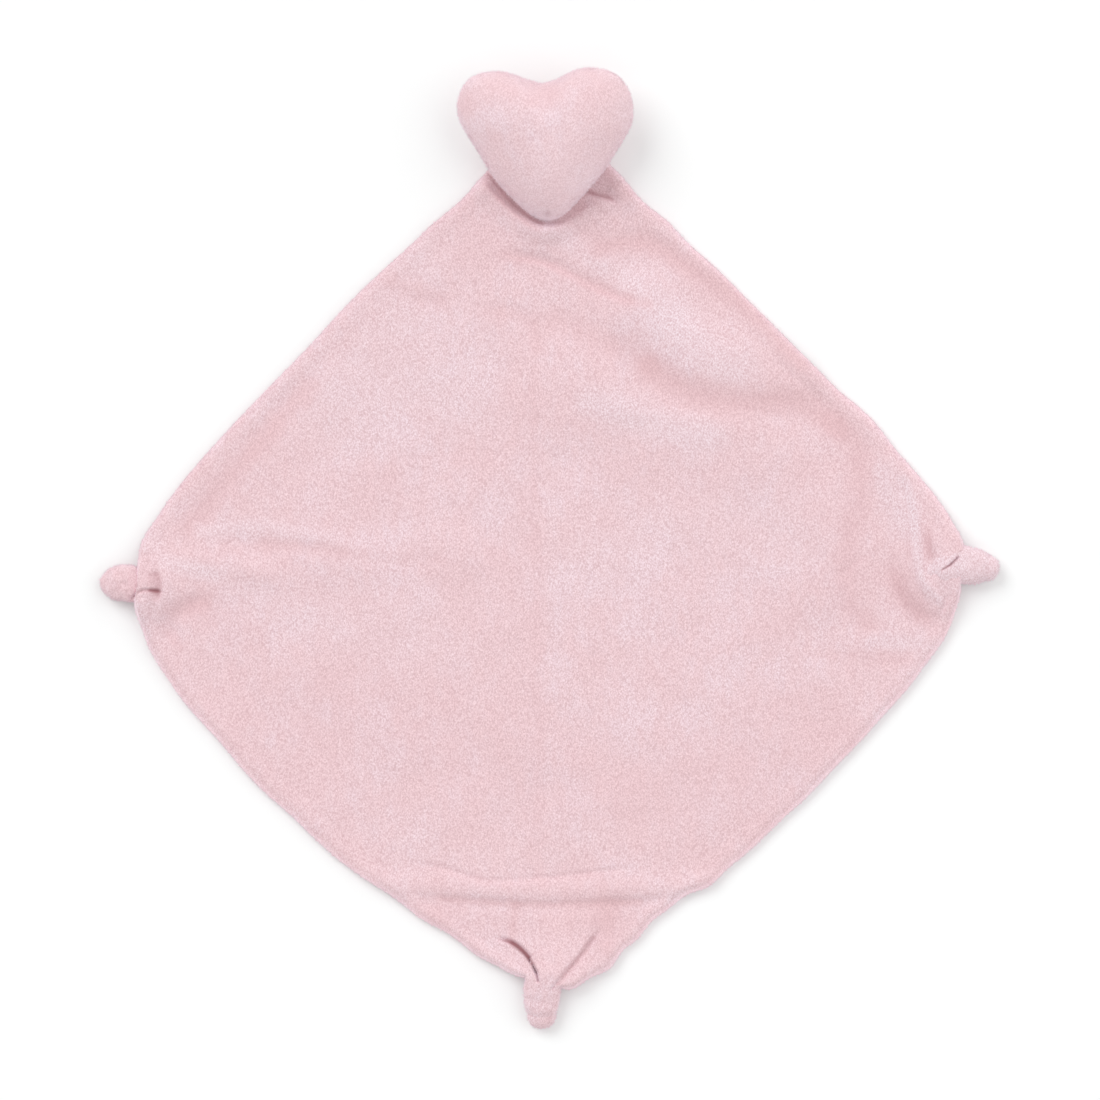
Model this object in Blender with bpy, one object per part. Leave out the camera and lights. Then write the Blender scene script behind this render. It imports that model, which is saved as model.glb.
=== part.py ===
# Comfort blanket lying flat: a double plush square with three tied corners and a stuffed heart on the fourth
import math

import bmesh
import bpy
import numpy as np
from mathutils import Matrix, Vector

for thing in list(bpy.data.objects):
    bpy.data.objects.remove(thing, do_unlink=True)

# Blanket: two layers of plush, sewn at the edge and turned
blanket_width = 0.334        # upper left edge to lower right edge
blanket_length = 0.344       # lower left edge to upper right edge
panel_thickness = 0.0026     # one layer with its pile
panel_gap = 0.0003           # between the layers, and round what the layers meet
edge_round = 0.0040          # how far in the turned edge is rounded
edge_thickness = 0.0011      # of one layer at the very edge
edge_thread = 0.0007         # thickness of the seam thread

# How far the knot in each corner has drawn the cloth in, and shifted it to one side
left_draw = 0.0370
left_shift = -0.0020
right_draw = 0.0330
right_shift = 0.0060
bottom_draw = 0.0400
bottom_shift = 0.0045
top_draw = 0.0050            # the fourth corner is only rounded
# How sharply the draw fades along the two sides that meet in each corner
left_fades = (8.2, 8.2)
right_fades = (10.0, 10.0)
bottom_fades = (4.7, 5.4)
top_fades = (9.0, 9.0)

# The rolled tuck across the bottom corner
tuck_rise = 0.0052
tuck_width = 0.0150
tuck_sag = 0.0100            # how far its middle hangs below its ends
tuck_place_share = -0.600    # of the half diagonal, up from the middle of the cloth
tuck_reach_share = 0.36      # of the half diagonal, to each side

# Soft folds: height, half width and the route, in shares of the half diagonal from the middle
fold_upper_rise = 0.0034
fold_upper_width = 0.0260
fold_upper_shares = [(0.20, 0.57), (0.31, 0.48), (0.43, 0.455), (0.52, 0.43)]
fold_middle_rise = 0.0022
fold_middle_width = 0.0380
fold_middle_shares = [(0.02, 0.40), (0.21, 0.35), (0.37, 0.30), (0.51, 0.27), (0.57, 0.15), (0.58, 0.02)]
fold_left_rise = 0.0013
fold_left_width = 0.0200
fold_left_shares = [(-0.80, -0.005), (-0.58, 0.03), (-0.38, 0.05), (-0.18, 0.055)]
valley_depth = 0.0012        # of the valley between the upper fold and the middle one
valley_width = 0.0130
valley_shares = [(0.219, 0.438), (0.303, 0.388), (0.407, 0.374), (0.532, 0.372), (0.612, 0.338)]

# Where a knot pulls, the cloth rises to it in pleats
gather_rise = 0.0036
gather_reach = 0.0300
pleat_rise = 0.0022
pleat_count = 5

# Rows and columns of the cloth's faces
tuck_row_count = 7
bottom_row_count = 2
lower_row_count = 5
knot_row_count = 6
upper_row_count = 9
cloth_column_count = 16
knot_band_share = 0.11       # of the half diagonal, above and below the side corners
narrow_row_share = 0.12      # of a short row near a corner, left inside its turned edge

# Knots: the strand of gathered cloth, its loop, and the tail that comes out of it
strand_radius = 0.0046
loop_radius = 0.0040
loop_depth = 0.0030
neck_radius = 0.0062
neck_length = 0.0040
knot_height = 0.0160
knot_floor_cut = 0.0005
knot_detail = 0.0009         # size of the cells in which the strand is fused to itself
knot_face_count = 520
knot_seat = 0.0050           # from the drawn corner of the cloth in to the middle of the knot
left_tail_length = 0.0148
left_tail_width = 0.0190
left_tail_bend = -0.0010
right_tail_length = 0.0150
right_tail_width = 0.0180
right_tail_bend = 0.0010
bottom_tail_length = 0.0184
bottom_tail_width = 0.0175
bottom_tail_bend = -0.0030
tail_height = 0.0105

# Heart: two plush halves sewn at the rim round a soft filling
heart_width = 0.0880
heart_height = 0.0765
heart_front_rise = 0.0190
heart_back_rise = 0.0120
heart_skin = 0.0024
heart_gap = 0.0003
heart_thread = 0.0007
heart_turn = math.radians(1.7)
heart_tilt = math.radians(8)
heart_notch_dip = 0.0022
heart_notch_width = 0.0110
heart_middle_inset = 0.009865    # from the corner it is sewn on in to the heart's middle
heart_side_shift = 0.0030    # of the heart's middle to the left of that corner
heart_round_count = 40
heart_ring_count = 6
heart_middle_share = 0.59    # of its height, where it is thickest
# Half of the outline: across in shares of the half width, up in shares of the height
heart_shares = [(0.0, 0.905), (0.16, 0.930), (0.36, 0.985), (0.57, 1.0), (0.77, 0.960), (0.93, 0.860),
                (1.0, 0.730), (0.94, 0.600), (0.79, 0.455), (0.60, 0.320), (0.41, 0.200),
                (0.235, 0.095), (0.115, 0.022), (0.0, 0.0)]

# The stitches that hold the heart to the corner, which it turns on
stitch_span = 0.0140
stitch_count = 8
stitch_width = 0.0014
stitch_radius = 0.00025
stitch_inset = 0.0055        # from the corner of the cloth


def make_material(name, colour, roughness):
    material = bpy.data.materials.new(name)
    material.use_nodes = True
    shader = material.node_tree.nodes["Principled BSDF"]
    shader.inputs["Base Color"].default_value = (*colour, 1.0)
    shader.inputs["Roughness"].default_value = roughness
    shader.inputs["Metallic"].default_value = 0.0
    return material


def make_object(name, points, faces, material, parent=None):
    mesh = bpy.data.meshes.new(name)
    mesh.from_pydata([tuple(p) for p in points], [], faces)
    mesh.update()
    body = bmesh.new()
    body.from_mesh(mesh)
    bmesh.ops.recalc_face_normals(body, faces=body.faces)
    body.to_mesh(mesh)
    body.free()
    mesh.shade_smooth()
    mesh.set_sharp_from_angle(angle=math.radians(60))
    mesh.materials.append(material)
    thing = bpy.data.objects.new(name, mesh)
    bpy.context.scene.collection.objects.link(thing)
    thing.parent = parent
    return thing


def tube(centres, radius, closed):
    """A four sided thread along the centres."""
    centres = np.array(centres)
    if closed:
        ahead, behind = np.roll(centres, -1, 0), np.roll(centres, 1, 0)
    else:
        ahead = np.vstack([centres[1:], centres[-1:]])
        behind = np.vstack([centres[:1], centres[:-1]])
    along = ahead - behind
    along /= np.linalg.norm(along, axis=1)[:, None]
    side = np.cross(along, (0.0, 0.0, 1.0))
    side /= np.linalg.norm(side, axis=1)[:, None]
    up = np.cross(side, along)
    rings = np.stack([centres + side * radius, centres + up * radius,
                      centres - side * radius, centres - up * radius], axis=1)
    points = rings.reshape(-1, 3)
    faces = []
    count = len(centres)
    for i in range(count if closed else count - 1):
        j = (i + 1) % count
        for k in range(4):
            n = (k + 1) % 4
            faces.append((i * 4 + k, i * 4 + n, j * 4 + n, j * 4 + k))
    if not closed:
        faces.append((0, 1, 2, 3))
        last = 4 * (count - 1)
        faces.append((last + 3, last + 2, last + 1, last))
    return points, faces


# The plan of the cloth: a square with its corners drawn in
root_two = math.sqrt(2)
half_diagonal = (blanket_width + blanket_length) / 2 / root_two
corners = {
    "left": ((-1, -1), left_draw, left_shift, left_fades),
    "right": ((1, 1), right_draw, right_shift, right_fades),
    "bottom": ((1, -1), bottom_draw, bottom_shift, bottom_fades),
    "top": ((-1, 1), top_draw, 0.0, top_fades),
}


def outward(signs):
    """The way that a corner points, in the plan."""
    a, b = signs
    return np.array([(a + b) / 2, (b - a) / 2])


def plan_point(a, b):
    """From the square, where each side runs from -1 to 1, to the plan."""
    p = np.asarray(a) * blanket_width / 2
    q = np.asarray(b) * blanket_length / 2
    x = (p + q) / root_two
    y = (q - p) / root_two
    for signs, draw, shift, fades in corners.values():
        near = ((1 + a * signs[0]) / 2) ** fades[0] * ((1 + b * signs[1]) / 2) ** fades[1]
        way = outward(signs)
        x = x - near * (draw * way[0] + shift * way[1])
        y = y - near * (draw * way[1] - shift * way[0])
    return x, y


steps = np.linspace(-1, 1, 161)
ones = np.ones_like(steps)
lower_left = plan_point(-steps, -ones)
upper_left = plan_point(-ones, steps)
lower_right = plan_point(ones, steps)
upper_right = plan_point(-steps, ones)
left_edge = (np.append(lower_left[0], upper_left[0][1:]), np.append(lower_left[1], upper_left[1][1:]))
right_edge = (np.append(lower_right[0], upper_right[0][1:]), np.append(lower_right[1], upper_right[1][1:]))
corner_places = {name: np.array(plan_point(np.float64(signs[0]), np.float64(signs[1])))
                 for name, (signs, draw, shift, fades) in corners.items()}


def near_path(x, y, path):
    """Distance from each place in the plan to a route of straight runs."""
    best = np.full(np.shape(x), np.inf)
    for (x0, y0), (x1, y1) in zip(path[:-1], path[1:]):
        dx, dy = x1 - x0, y1 - y0
        t = np.clip(((x - x0) * dx + (y - y0) * dy) / (dx * dx + dy * dy), 0, 1)
        best = np.minimum(best, np.hypot(x - x0 - t * dx, y - y0 - t * dy))
    return best


def bump(distance, half_width):
    """1 on the line, falling in a smooth wave to 0 at the half width."""
    t = np.clip(distance / half_width, 0, 1)
    return (1 + np.cos(math.pi * t)) / 2


tuck_place = tuck_place_share * half_diagonal
tuck_reach = tuck_reach_share * half_diagonal


def tuck_line(x):
    return tuck_place - tuck_sag * np.clip(1 - (x / tuck_reach) ** 2, 0, 1)


def lift(x, y):
    """How high the cloth's underside is above the table."""
    height = tuck_rise * bump(np.abs(y - tuck_line(x)), tuck_width / 2 * 1.3)
    height = height * bump(np.maximum(np.abs(x) - tuck_reach * 0.8, 0), tuck_reach * 0.5)
    for rise, width, shares in ((fold_upper_rise, fold_upper_width, fold_upper_shares),
                                (fold_middle_rise, fold_middle_width, fold_middle_shares),
                                (fold_left_rise, fold_left_width, fold_left_shares),
                                (-valley_depth, valley_width, valley_shares)):
        path = [(u * half_diagonal, v * half_diagonal) for u, v in shares]
        height = height + rise * bump(near_path(x, y, path), width)
    for name in ("left", "right", "bottom"):
        way = outward(corners[name][0])
        dx, dy = x - corner_places[name][0], y - corner_places[name][1]
        inward = -(dx * way[0] + dy * way[1])
        across = dx * way[1] - dy * way[0]
        angle = np.arctan2(across, inward + strand_radius)
        fade = bump(np.hypot(dx, dy), gather_reach * 1.6)
        height = height + fade * (gather_rise + pleat_rise * np.cos(angle * pleat_count))
    return np.maximum(height, 0)


# Rows of the cloth from the bottom corner to the top one
bottom_tip = corner_places["bottom"][1]
top_tip = corner_places["top"][1]
side_place = (corner_places["left"][1] + corner_places["right"][1]) / 2
band = knot_band_share * half_diagonal
stations = [bottom_tip + edge_round, tuck_place - tuck_width, tuck_place + tuck_width * 0.9,
            side_place - band, side_place + band, top_tip - edge_round]
rows = [bottom_tip]
row_counts = (bottom_row_count, tuck_row_count, lower_row_count, knot_row_count, upper_row_count)
for low, high, count in zip(stations[:-1], stations[1:], row_counts):
    rows += list(np.linspace(low, high, count, endpoint=False))
rows += [top_tip - edge_round, top_tip]
spread = np.linspace(-1, 1, cloth_column_count + 1)
spread = spread * 0.7 + np.sin(spread * math.pi / 2) * 0.3


def cloth_grid():
    """Places in the plan: one for each end, and one row of columns for each height between."""
    grid = []
    for y in rows[1:-1]:
        x_low = np.interp(y, left_edge[1], left_edge[0])
        x_high = np.interp(y, right_edge[1], right_edge[0])
        middle, half = (x_low + x_high) / 2, (x_high - x_low) / 2
        inner_half = max(half - edge_round, half * narrow_row_share)
        x = np.concatenate([[x_low], middle + spread * inner_half, [x_high]])
        part = (x - middle) / half
        sag = tuck_sag * (1 - part ** 2) * bump(abs(y - tuck_place), tuck_width * 3)
        grid.append(np.stack([x, y - sag], axis=1))
    return np.array(grid)


grid = cloth_grid()
row_count, column_count = grid.shape[:2]


def cloth_layer(height_at_edge, height_inside, height_at_thread):
    """Points of one face of a layer; each height is counted from the middle of the cloth."""
    middle = lift(grid[..., 0], grid[..., 1]) + panel_thickness + panel_gap / 2
    offset = np.full((row_count, column_count), height_inside)
    offset[:, 1] = offset[:, -2] = height_at_thread
    offset[0, 1:-1] = offset[-1, 1:-1] = height_at_thread
    offset[:, 0] = offset[:, -1] = height_at_edge
    points = np.concatenate([grid, (middle + offset)[..., None]], axis=2).reshape(-1, 3)
    ends = []
    for name in ("bottom", "top"):
        x, y = corner_places[name]
        ends.append((x, y, lift(x, y) + panel_thickness + panel_gap / 2 + height_at_edge))
    return np.vstack([points, ends])


def cloth_faces(start, flip):
    faces = []
    low_end = start + row_count * column_count
    high_end = low_end + 1
    for c in range(column_count - 1):
        faces.append((low_end, start + c + 1, start + c))
        top = start + (row_count - 1) * column_count + c
        faces.append((high_end, top, top + 1))
    for r in range(row_count - 1):
        for c in range(column_count - 1):
            i = start + r * column_count + c
            j = i + column_count
            if (c < column_count // 2) == (r < row_count // 2):
                faces += [(i, i + 1, j + 1), (i, j + 1, j)]
            else:
                faces += [(i, i + 1, j), (i + 1, j + 1, j)]
    return [tuple(reversed(f)) for f in faces] if flip else faces


def cloth_rim():
    """Point numbers round the edge, starting and ending at the bottom corner."""
    right = [r * column_count + column_count - 1 for r in range(row_count)]
    left = [r * column_count for r in range(row_count)]
    end = row_count * column_count
    return [end] + right + [end + 1] + left[::-1]


def make_panel(name, upper, lower, material):
    points = np.vstack([upper, lower])
    total = len(upper)
    faces = cloth_faces(0, False) + cloth_faces(total, True)
    rim = cloth_rim()
    for i, j in zip(rim, rim[1:] + rim[:1]):
        faces.append((j, i, i + total))
        faces.append((j, i + total, j + total))
    return make_object(name, points, faces, material)


pink = make_material("blanket_plush", (0.82, 0.60, 0.64), 0.9)
knot_pink = make_material("knot_plush", (0.80, 0.58, 0.62), 0.9)
heart_pink = make_material("heart_plush", (0.83, 0.61, 0.65), 0.9)
fibre_white = make_material("fibre_fill", (0.90, 0.89, 0.87), 0.95)
thread_pink = make_material("sewing_thread", (0.78, 0.52, 0.57), 0.6)

near_face = panel_gap / 2
thread_face = edge_thread / 2 + panel_gap
front_panel = make_panel(
    "blanket_front_panel",
    cloth_layer(near_face + edge_thickness, near_face + panel_thickness, near_face + panel_thickness),
    cloth_layer(near_face, near_face, thread_face), pink)
back_panel = make_panel(
    "blanket_back_panel",
    cloth_layer(-near_face, -near_face, -thread_face),
    cloth_layer(-near_face - edge_thickness, -near_face - panel_thickness, -near_face - panel_thickness), pink)


# The knots
def strand_route(tail_length, tail_bend):
    """An open trefoil: in from the cloth, once round itself, through its own loop and out as the tail."""
    route = []
    for t in np.linspace(0.30, 2 * math.pi - 0.30, 30):
        out = loop_radius + loop_depth * math.cos(3 * t)
        route.append((out * math.sin(2 * t), -out * math.cos(2 * t) + loop_radius, loop_depth * math.sin(3 * t)))
    first, last = route[0], route[-1]
    neck = [(-loop_radius - neck_length, 0.0, 0.0), (-loop_radius - neck_length / 2, first[1] / 2, first[2] / 2)]
    out = loop_radius + strand_radius
    tail = [(out * 0.8, last[1] / 2, last[2] / 2), (out + tail_length * 0.35, tail_bend * 0.3, 0.0),
            (out + tail_length * 0.7, tail_bend * 0.7, 0.0), (out + tail_length, tail_bend, 0.0)]
    return np.array(neck + route + tail), len(neck), len(tail)


def knot_body(tail_length, tail_width, tail_bend):
    """The strand swept along its route, wide at the neck and at the tail, as one skin."""
    route, neck_points, tail_points = strand_route(tail_length, tail_bend)
    count = len(route)
    across = np.full(count, strand_radius)
    across[:neck_points] = neck_radius
    high = across.copy()
    across[-tail_points:] = tail_width / 2 * np.array([0.62, 0.95, 1.0, 0.62])
    high[-tail_points:] = tail_height / 2 * np.array([0.85, 1.0, 0.95, 0.55])
    body = bmesh.new()
    sides = 14
    rings = []
    for i, centre in enumerate(route):
        ahead = route[min(i + 1, count - 1)] - route[max(i - 1, 0)]
        ahead = Vector(ahead).normalized()
        side = ahead.cross(Vector((0, 0, 1))).normalized()
        up = side.cross(ahead)
        ring = []
        for k in range(sides):
            turn = 2 * math.pi * k / sides
            place = Vector(centre) + side * (across[i] * math.cos(turn)) + up * (high[i] * math.sin(turn))
            ring.append(body.verts.new(place))
        rings.append(ring)
    for lower, upper in zip(rings[:-1], rings[1:]):
        for k in range(sides):
            n = (k + 1) % sides
            body.faces.new((lower[k], lower[n], upper[n], upper[k]))
    for ring, way in ((rings[0], -1), (rings[-1], 1)):
        centre = sum((v.co for v in ring), Vector()) / sides
        tip = body.verts.new(centre + Vector((way * strand_radius * 0.5, 0, 0)))
        for k in range(sides):
            body.faces.new((ring[k], ring[(k + 1) % sides], tip))
    bmesh.ops.recalc_face_normals(body, faces=body.faces)
    return body


def evaluated(thing):
    graph = bpy.context.evaluated_depsgraph_get()
    return bpy.data.meshes.new_from_object(thing.evaluated_get(graph))


def largest_piece(body):
    """Keeps the outer skin and drops the skins of the pockets inside it."""
    body.verts.ensure_lookup_table()
    seen = set()
    groups = []
    for vert in body.verts:
        if vert in seen:
            continue
        seen.add(vert)
        group, queue = [], [vert]
        while queue:
            one = queue.pop()
            group.append(one)
            for edge in one.link_edges:
                other = edge.other_vert(one)
                if other not in seen:
                    seen.add(other)
                    queue.append(other)
        groups.append(group)
    groups.sort(key=len)
    for group in groups[:-1]:
        bmesh.ops.delete(body, geom=group, context="VERTS")


def make_knot(name, place, turn, roll, tail_length, tail_width, tail_bend):
    body = knot_body(tail_length, tail_width, tail_bend)
    bmesh.ops.rotate(body, verts=body.verts, cent=(0, 0, 0), matrix=Matrix.Rotation(roll, 3, "X"))
    mesh = bpy.data.meshes.new(name)
    body.to_mesh(mesh)
    body.free()
    thing = bpy.data.objects.new(name, mesh)
    bpy.context.scene.collection.objects.link(thing)
    fuse = thing.modifiers.new("fuse", "REMESH")
    fuse.mode = "VOXEL"
    fuse.voxel_size = knot_detail
    ease = thing.modifiers.new("ease", "SMOOTH")
    ease.factor = 0.5
    ease.iterations = 5
    body = bmesh.new()
    body.from_mesh(evaluated(thing))
    thing.modifiers.clear()
    largest_piece(body)
    # Seat the knot: its height set, its underside cut flat on the table
    lows = min(v.co.z for v in body.verts)
    highs = max(v.co.z for v in body.verts)
    bmesh.ops.scale(body, verts=body.verts, vec=(1, 1, (knot_height + knot_floor_cut) / (highs - lows)))
    lows = min(v.co.z for v in body.verts)
    bmesh.ops.translate(body, verts=body.verts, vec=(0, 0, -lows - knot_floor_cut))
    everything = body.verts[:] + body.edges[:] + body.faces[:]
    bmesh.ops.bisect_plane(body, geom=everything, plane_co=(0, 0, 0), plane_no=(0, 0, -1), clear_outer=True)
    bmesh.ops.holes_fill(body, edges=[e for e in body.edges if e.is_boundary], sides=0)
    bmesh.ops.triangulate(body, faces=body.faces)
    body.to_mesh(mesh)
    body.free()
    thin = thing.modifiers.new("thin", "DECIMATE")
    thin.ratio = knot_face_count / len(mesh.polygons)
    lean = evaluated(thing)
    thing.modifiers.clear()
    thing.data = lean
    for vert in lean.vertices:
        vert.co.z = max(vert.co.z, 0)
    lean.name = name
    lean.materials.append(knot_pink)
    lean.shade_smooth()
    thing.location = (*place, 0.0)
    thing.rotation_euler = (0, 0, turn)
    return thing


def knot_place(name):
    """On the corner of the cloth, so that the cloth's drawn edge ends in the loop."""
    way = outward(corners[name][0])
    return corner_places[name] - way * knot_seat


left_knot = make_knot("left_knot", knot_place("left"), math.radians(178), math.radians(20),
                      left_tail_length, left_tail_width, left_tail_bend)
right_knot = make_knot("right_knot", knot_place("right"), math.radians(-4), math.radians(-25),
                       right_tail_length, right_tail_width, right_tail_bend)
bottom_knot = make_knot("bottom_knot", knot_place("bottom"), math.radians(-91), math.radians(30),
                        bottom_tail_length, bottom_tail_width, bottom_tail_bend)

# The cloth stops short of each knot, all round
for knot in (left_knot, right_knot, bottom_knot):
    mesh = knot.data.copy()
    normals = [v.normal.copy() for v in mesh.vertices]
    for vert, normal in zip(mesh.vertices, normals):
        vert.co += normal * panel_gap * 1.4
    cutter = bpy.data.objects.new(knot.name + "_space", mesh)
    bpy.context.scene.collection.objects.link(cutter)
    cutter.matrix_world = Matrix.Translation(knot.location) @ knot.rotation_euler.to_matrix().to_4x4()
    cutter.hide_render = True
    cutter.display_type = "WIRE"
    for panel in (front_panel, back_panel):
        cut = panel.modifiers.new(knot.name, "BOOLEAN")
        cut.operation = "DIFFERENCE"
        cut.solver = "EXACT"
        cut.object = cutter

# Seam thread between the layers, in three runs from knot to knot
rim_right = [(r, column_count - 2) for r in range(row_count)]
rim_left = [(r, 1) for r in range(row_count)]


def thread_run(cells, start_knot, end_knot):
    """Seam thread along the grid's second ring of points, clear of the knots at its ends."""
    centres = []
    for r, c in cells:
        x, y = grid[r, c]
        clear = neck_radius + loop_radius + strand_radius + edge_round
        if any(np.hypot(*(np.array((x, y)) - corner_places[k])) < clear for k in (start_knot, end_knot)):
            continue
        centres.append((x, y, lift(x, y) + panel_thickness + panel_gap / 2))
    return centres


left_row, right_row = (min(range(row_count), key=lambda r: abs(rows[r + 1] - corner_places[side][1]))
                       for side in ("left", "right"))
upper_cells = [(row_count - 1, c) for c in range(2, column_count - 2)]
runs = {
    "upper_edge_thread": (rim_left[left_row:] + upper_cells + rim_right[right_row:][::-1], "left", "right"),
    "lower_left_edge_thread": (rim_left[:left_row + 1], "bottom", "left"),
    "lower_right_edge_thread": (rim_right[:right_row + 1], "bottom", "right"),
}
for name, (cells, start_knot, end_knot) in runs.items():
    points, faces = tube(thread_run(cells, start_knot, end_knot), edge_thread / 2, False)
    make_object(name, points, faces, thread_pink)


# The heart
def smooth_outline(shares, samples):
    """A closed curve through the outline's points and their mirror images, evenly spaced."""
    half = [(u * heart_width / 2, v * heart_height) for u, v in shares]
    ring = np.array(half + [(-x, y) for x, y in half[-2:0:-1]])
    count = len(ring)
    fine = []
    for i in range(count):
        p0, p1, p2, p3 = (ring[(i + k) % count] for k in (-1, 0, 1, 2))
        for t in np.linspace(0, 1, 12, endpoint=False):
            fine.append(((2 * p1) + (p2 - p0) * t + (2 * p0 - 5 * p1 + 4 * p2 - p3) * t ** 2
                         + (3 * p1 - p0 - 3 * p2 + p3) * t ** 3) / 2)
    fine = np.array(fine)
    lengths = np.linalg.norm(np.roll(fine, -1, 0) - fine, axis=1)
    along = np.concatenate([[0], np.cumsum(lengths)])
    wanted = np.linspace(0, along[-1], samples, endpoint=False)
    closed = np.vstack([fine, fine[:1]])
    return np.stack([np.interp(wanted, along, closed[:, k]) for k in (0, 1)], axis=1)


heart_middle = np.array([0.0, heart_height * heart_middle_share])
outline = smooth_outline(heart_shares, heart_round_count) - heart_middle


def drawn_in(ring, distance):
    """The outline moved inwards by a distance along its own normals."""
    along = np.roll(ring, -1, 0) - np.roll(ring, 1, 0)
    along /= np.linalg.norm(along, axis=1)[:, None]
    normal = np.stack([along[:, 1], -along[:, 0]], axis=1)
    if (normal * ring).sum() > 0:
        normal = -normal
    return ring + normal * distance


def heart_rise(x, y, share, rise):
    """Height of the skin over the seam: full in the middle, less along the notch, none at the rim."""
    height = rise * (1 - share ** 2.1) ** 0.6
    notch = heart_notch_dip * np.exp(-(x / heart_notch_width) ** 2) * np.clip(y / (heart_height * 0.3), 0, 1)
    return np.maximum(height - notch * np.minimum(1, (1 - share) * 4), 0)


ring_shares = np.sin(np.linspace(1, 0, heart_ring_count, endpoint=False) * math.pi / 2)


def heart_face(ring, rise, way, level):
    """One face of the heart: rings from the rim to the middle, over or under the seam."""
    points = []
    for share in ring_shares:
        x, y = (ring * share).T
        z = level + way * heart_rise(x, y, share, rise)
        points.append(np.stack([x, y, z], axis=1))
    middle = level + way * heart_rise(np.array([0.0]), np.array([0.0]), 0.0, rise)[0]
    return np.vstack(points + [np.array([[0.0, 0.0, middle]])])


def heart_faces(start, flip):
    faces = []
    n = heart_round_count
    for r in range(heart_ring_count - 1):
        for i in range(n):
            j = (i + 1) % n
            a, b = start + r * n + i, start + r * n + j
            faces.append((a, b, b + n, a + n))
    last = start + (heart_ring_count - 1) * n
    tip = start + heart_ring_count * n
    faces += [(last + i, last + (i + 1) % n, tip) for i in range(n)]
    return [tuple(reversed(f)) for f in faces] if flip else faces


def seat(points):
    """The heart's own turn and its lean towards the tip."""
    turn = Matrix.Rotation(heart_turn, 3, "Z") @ Matrix.Rotation(heart_tilt, 3, "X")
    return np.array(points) @ np.array(turn).T


def half_heart(rise, way):
    """A shell from the seam outwards, open towards the filling."""
    level = way * heart_gap / 2
    outer = heart_face(outline, rise, way, level)
    inner = heart_face(drawn_in(outline, heart_skin), rise - heart_skin, way, level)
    total = len(outer)
    faces = heart_faces(0, False) + heart_faces(total, True)
    n = heart_round_count
    for i in range(n):
        j = (i + 1) % n
        faces.append((i, total + i, total + j, j))
    return seat(np.vstack([outer, inner])), faces


def filling():
    """What is left inside the skins and the seam thread."""
    inset = heart_skin + heart_gap * 2 + heart_thread
    ring = drawn_in(outline, inset)
    over = heart_face(ring, heart_front_rise - heart_skin - heart_gap * 2, 1, 0.0)
    under = heart_face(ring, heart_back_rise - heart_skin - heart_gap * 2, -1, 0.0)
    n = heart_round_count
    points = np.vstack([over, under[n:]])
    faces = heart_faces(0, False)
    shift = len(over) - n
    for face in heart_faces(0, True):
        faces.append(tuple(i if i < n else i + shift for i in face))
    return seat(points), faces


cloth_top = 2 * panel_thickness + panel_gap
hinge_place = np.array([corner_places["top"][0], top_tip - stitch_inset])
hinge_height = cloth_top + panel_gap + stitch_radius
heart_place = np.array([corner_places["top"][0] - heart_side_shift, top_tip - heart_middle_inset])

heart_hinge = bpy.data.objects.new("heart_hinge", None)
bpy.context.scene.collection.objects.link(heart_hinge)
heart_hinge.location = (*hinge_place, hinge_height)

front_points, shell_faces = half_heart(heart_front_rise, 1)
back_points, back_faces = half_heart(heart_back_rise, -1)
fill_points, fill_faces = filling()
seam_route = seat([(x, y, 0.0) for x, y in drawn_in(outline, heart_skin + heart_gap + heart_thread / 2)])
seam_points, seam_faces = tube(seam_route, heart_thread / 2, True)
resting = cloth_top + panel_gap - back_points[:, 2].min()
offset = np.array([*(heart_place - hinge_place), resting - hinge_height])
make_object("heart_front_panel", front_points + offset, shell_faces, heart_pink, heart_hinge)
make_object("heart_back_panel", back_points + offset, back_faces, heart_pink, heart_hinge)
make_object("heart_filling", fill_points + offset, fill_faces, fibre_white, heart_hinge)
make_object("heart_edge_thread", seam_points + offset, seam_faces, thread_pink, heart_hinge)

# Stitches on the corner under the heart, one thread to and fro along the hinge line
stitches = [(hinge_place[0] + stitch_span * (i / stitch_count - 0.5),
             hinge_place[1] + stitch_width / 2 * (1 if i % 2 else -1), hinge_height)
            for i in range(stitch_count + 1)]
points, faces = tube(stitches, stitch_radius, False)
make_object("heart_stitches", points, faces, thread_pink)

# Put the middle of the whole part on the origin
bpy.context.view_layer.update()
graph = bpy.context.evaluated_depsgraph_get()
solids = [o for o in bpy.context.scene.objects if o.type == "MESH" and not o.hide_render]
places = np.vstack([[o.matrix_world @ v.co for v in o.evaluated_get(graph).data.vertices] for o in solids])
middle = (places.min(axis=0) + places.max(axis=0)) / 2
for thing in bpy.context.scene.objects:
    if thing.parent is None:
        thing.location.x -= middle[0]
        thing.location.y -= middle[1]
bpy.context.view_layer.update()
print("overall size, mm:", [round(float(v) * 1000, 1) for v in places.max(axis=0) - places.min(axis=0)])
print("hinge at, m:", [round(v, 4) for v in heart_hinge.location])
print("moved by, m:", [round(float(-v), 4) for v in middle[:2]])
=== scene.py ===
# Comfort blanket lying flat, seen from straight above: plush square, three tied corners, stuffed heart
import math

import bmesh
import bpy
import numpy as np
from mathutils import Matrix, Vector


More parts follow.
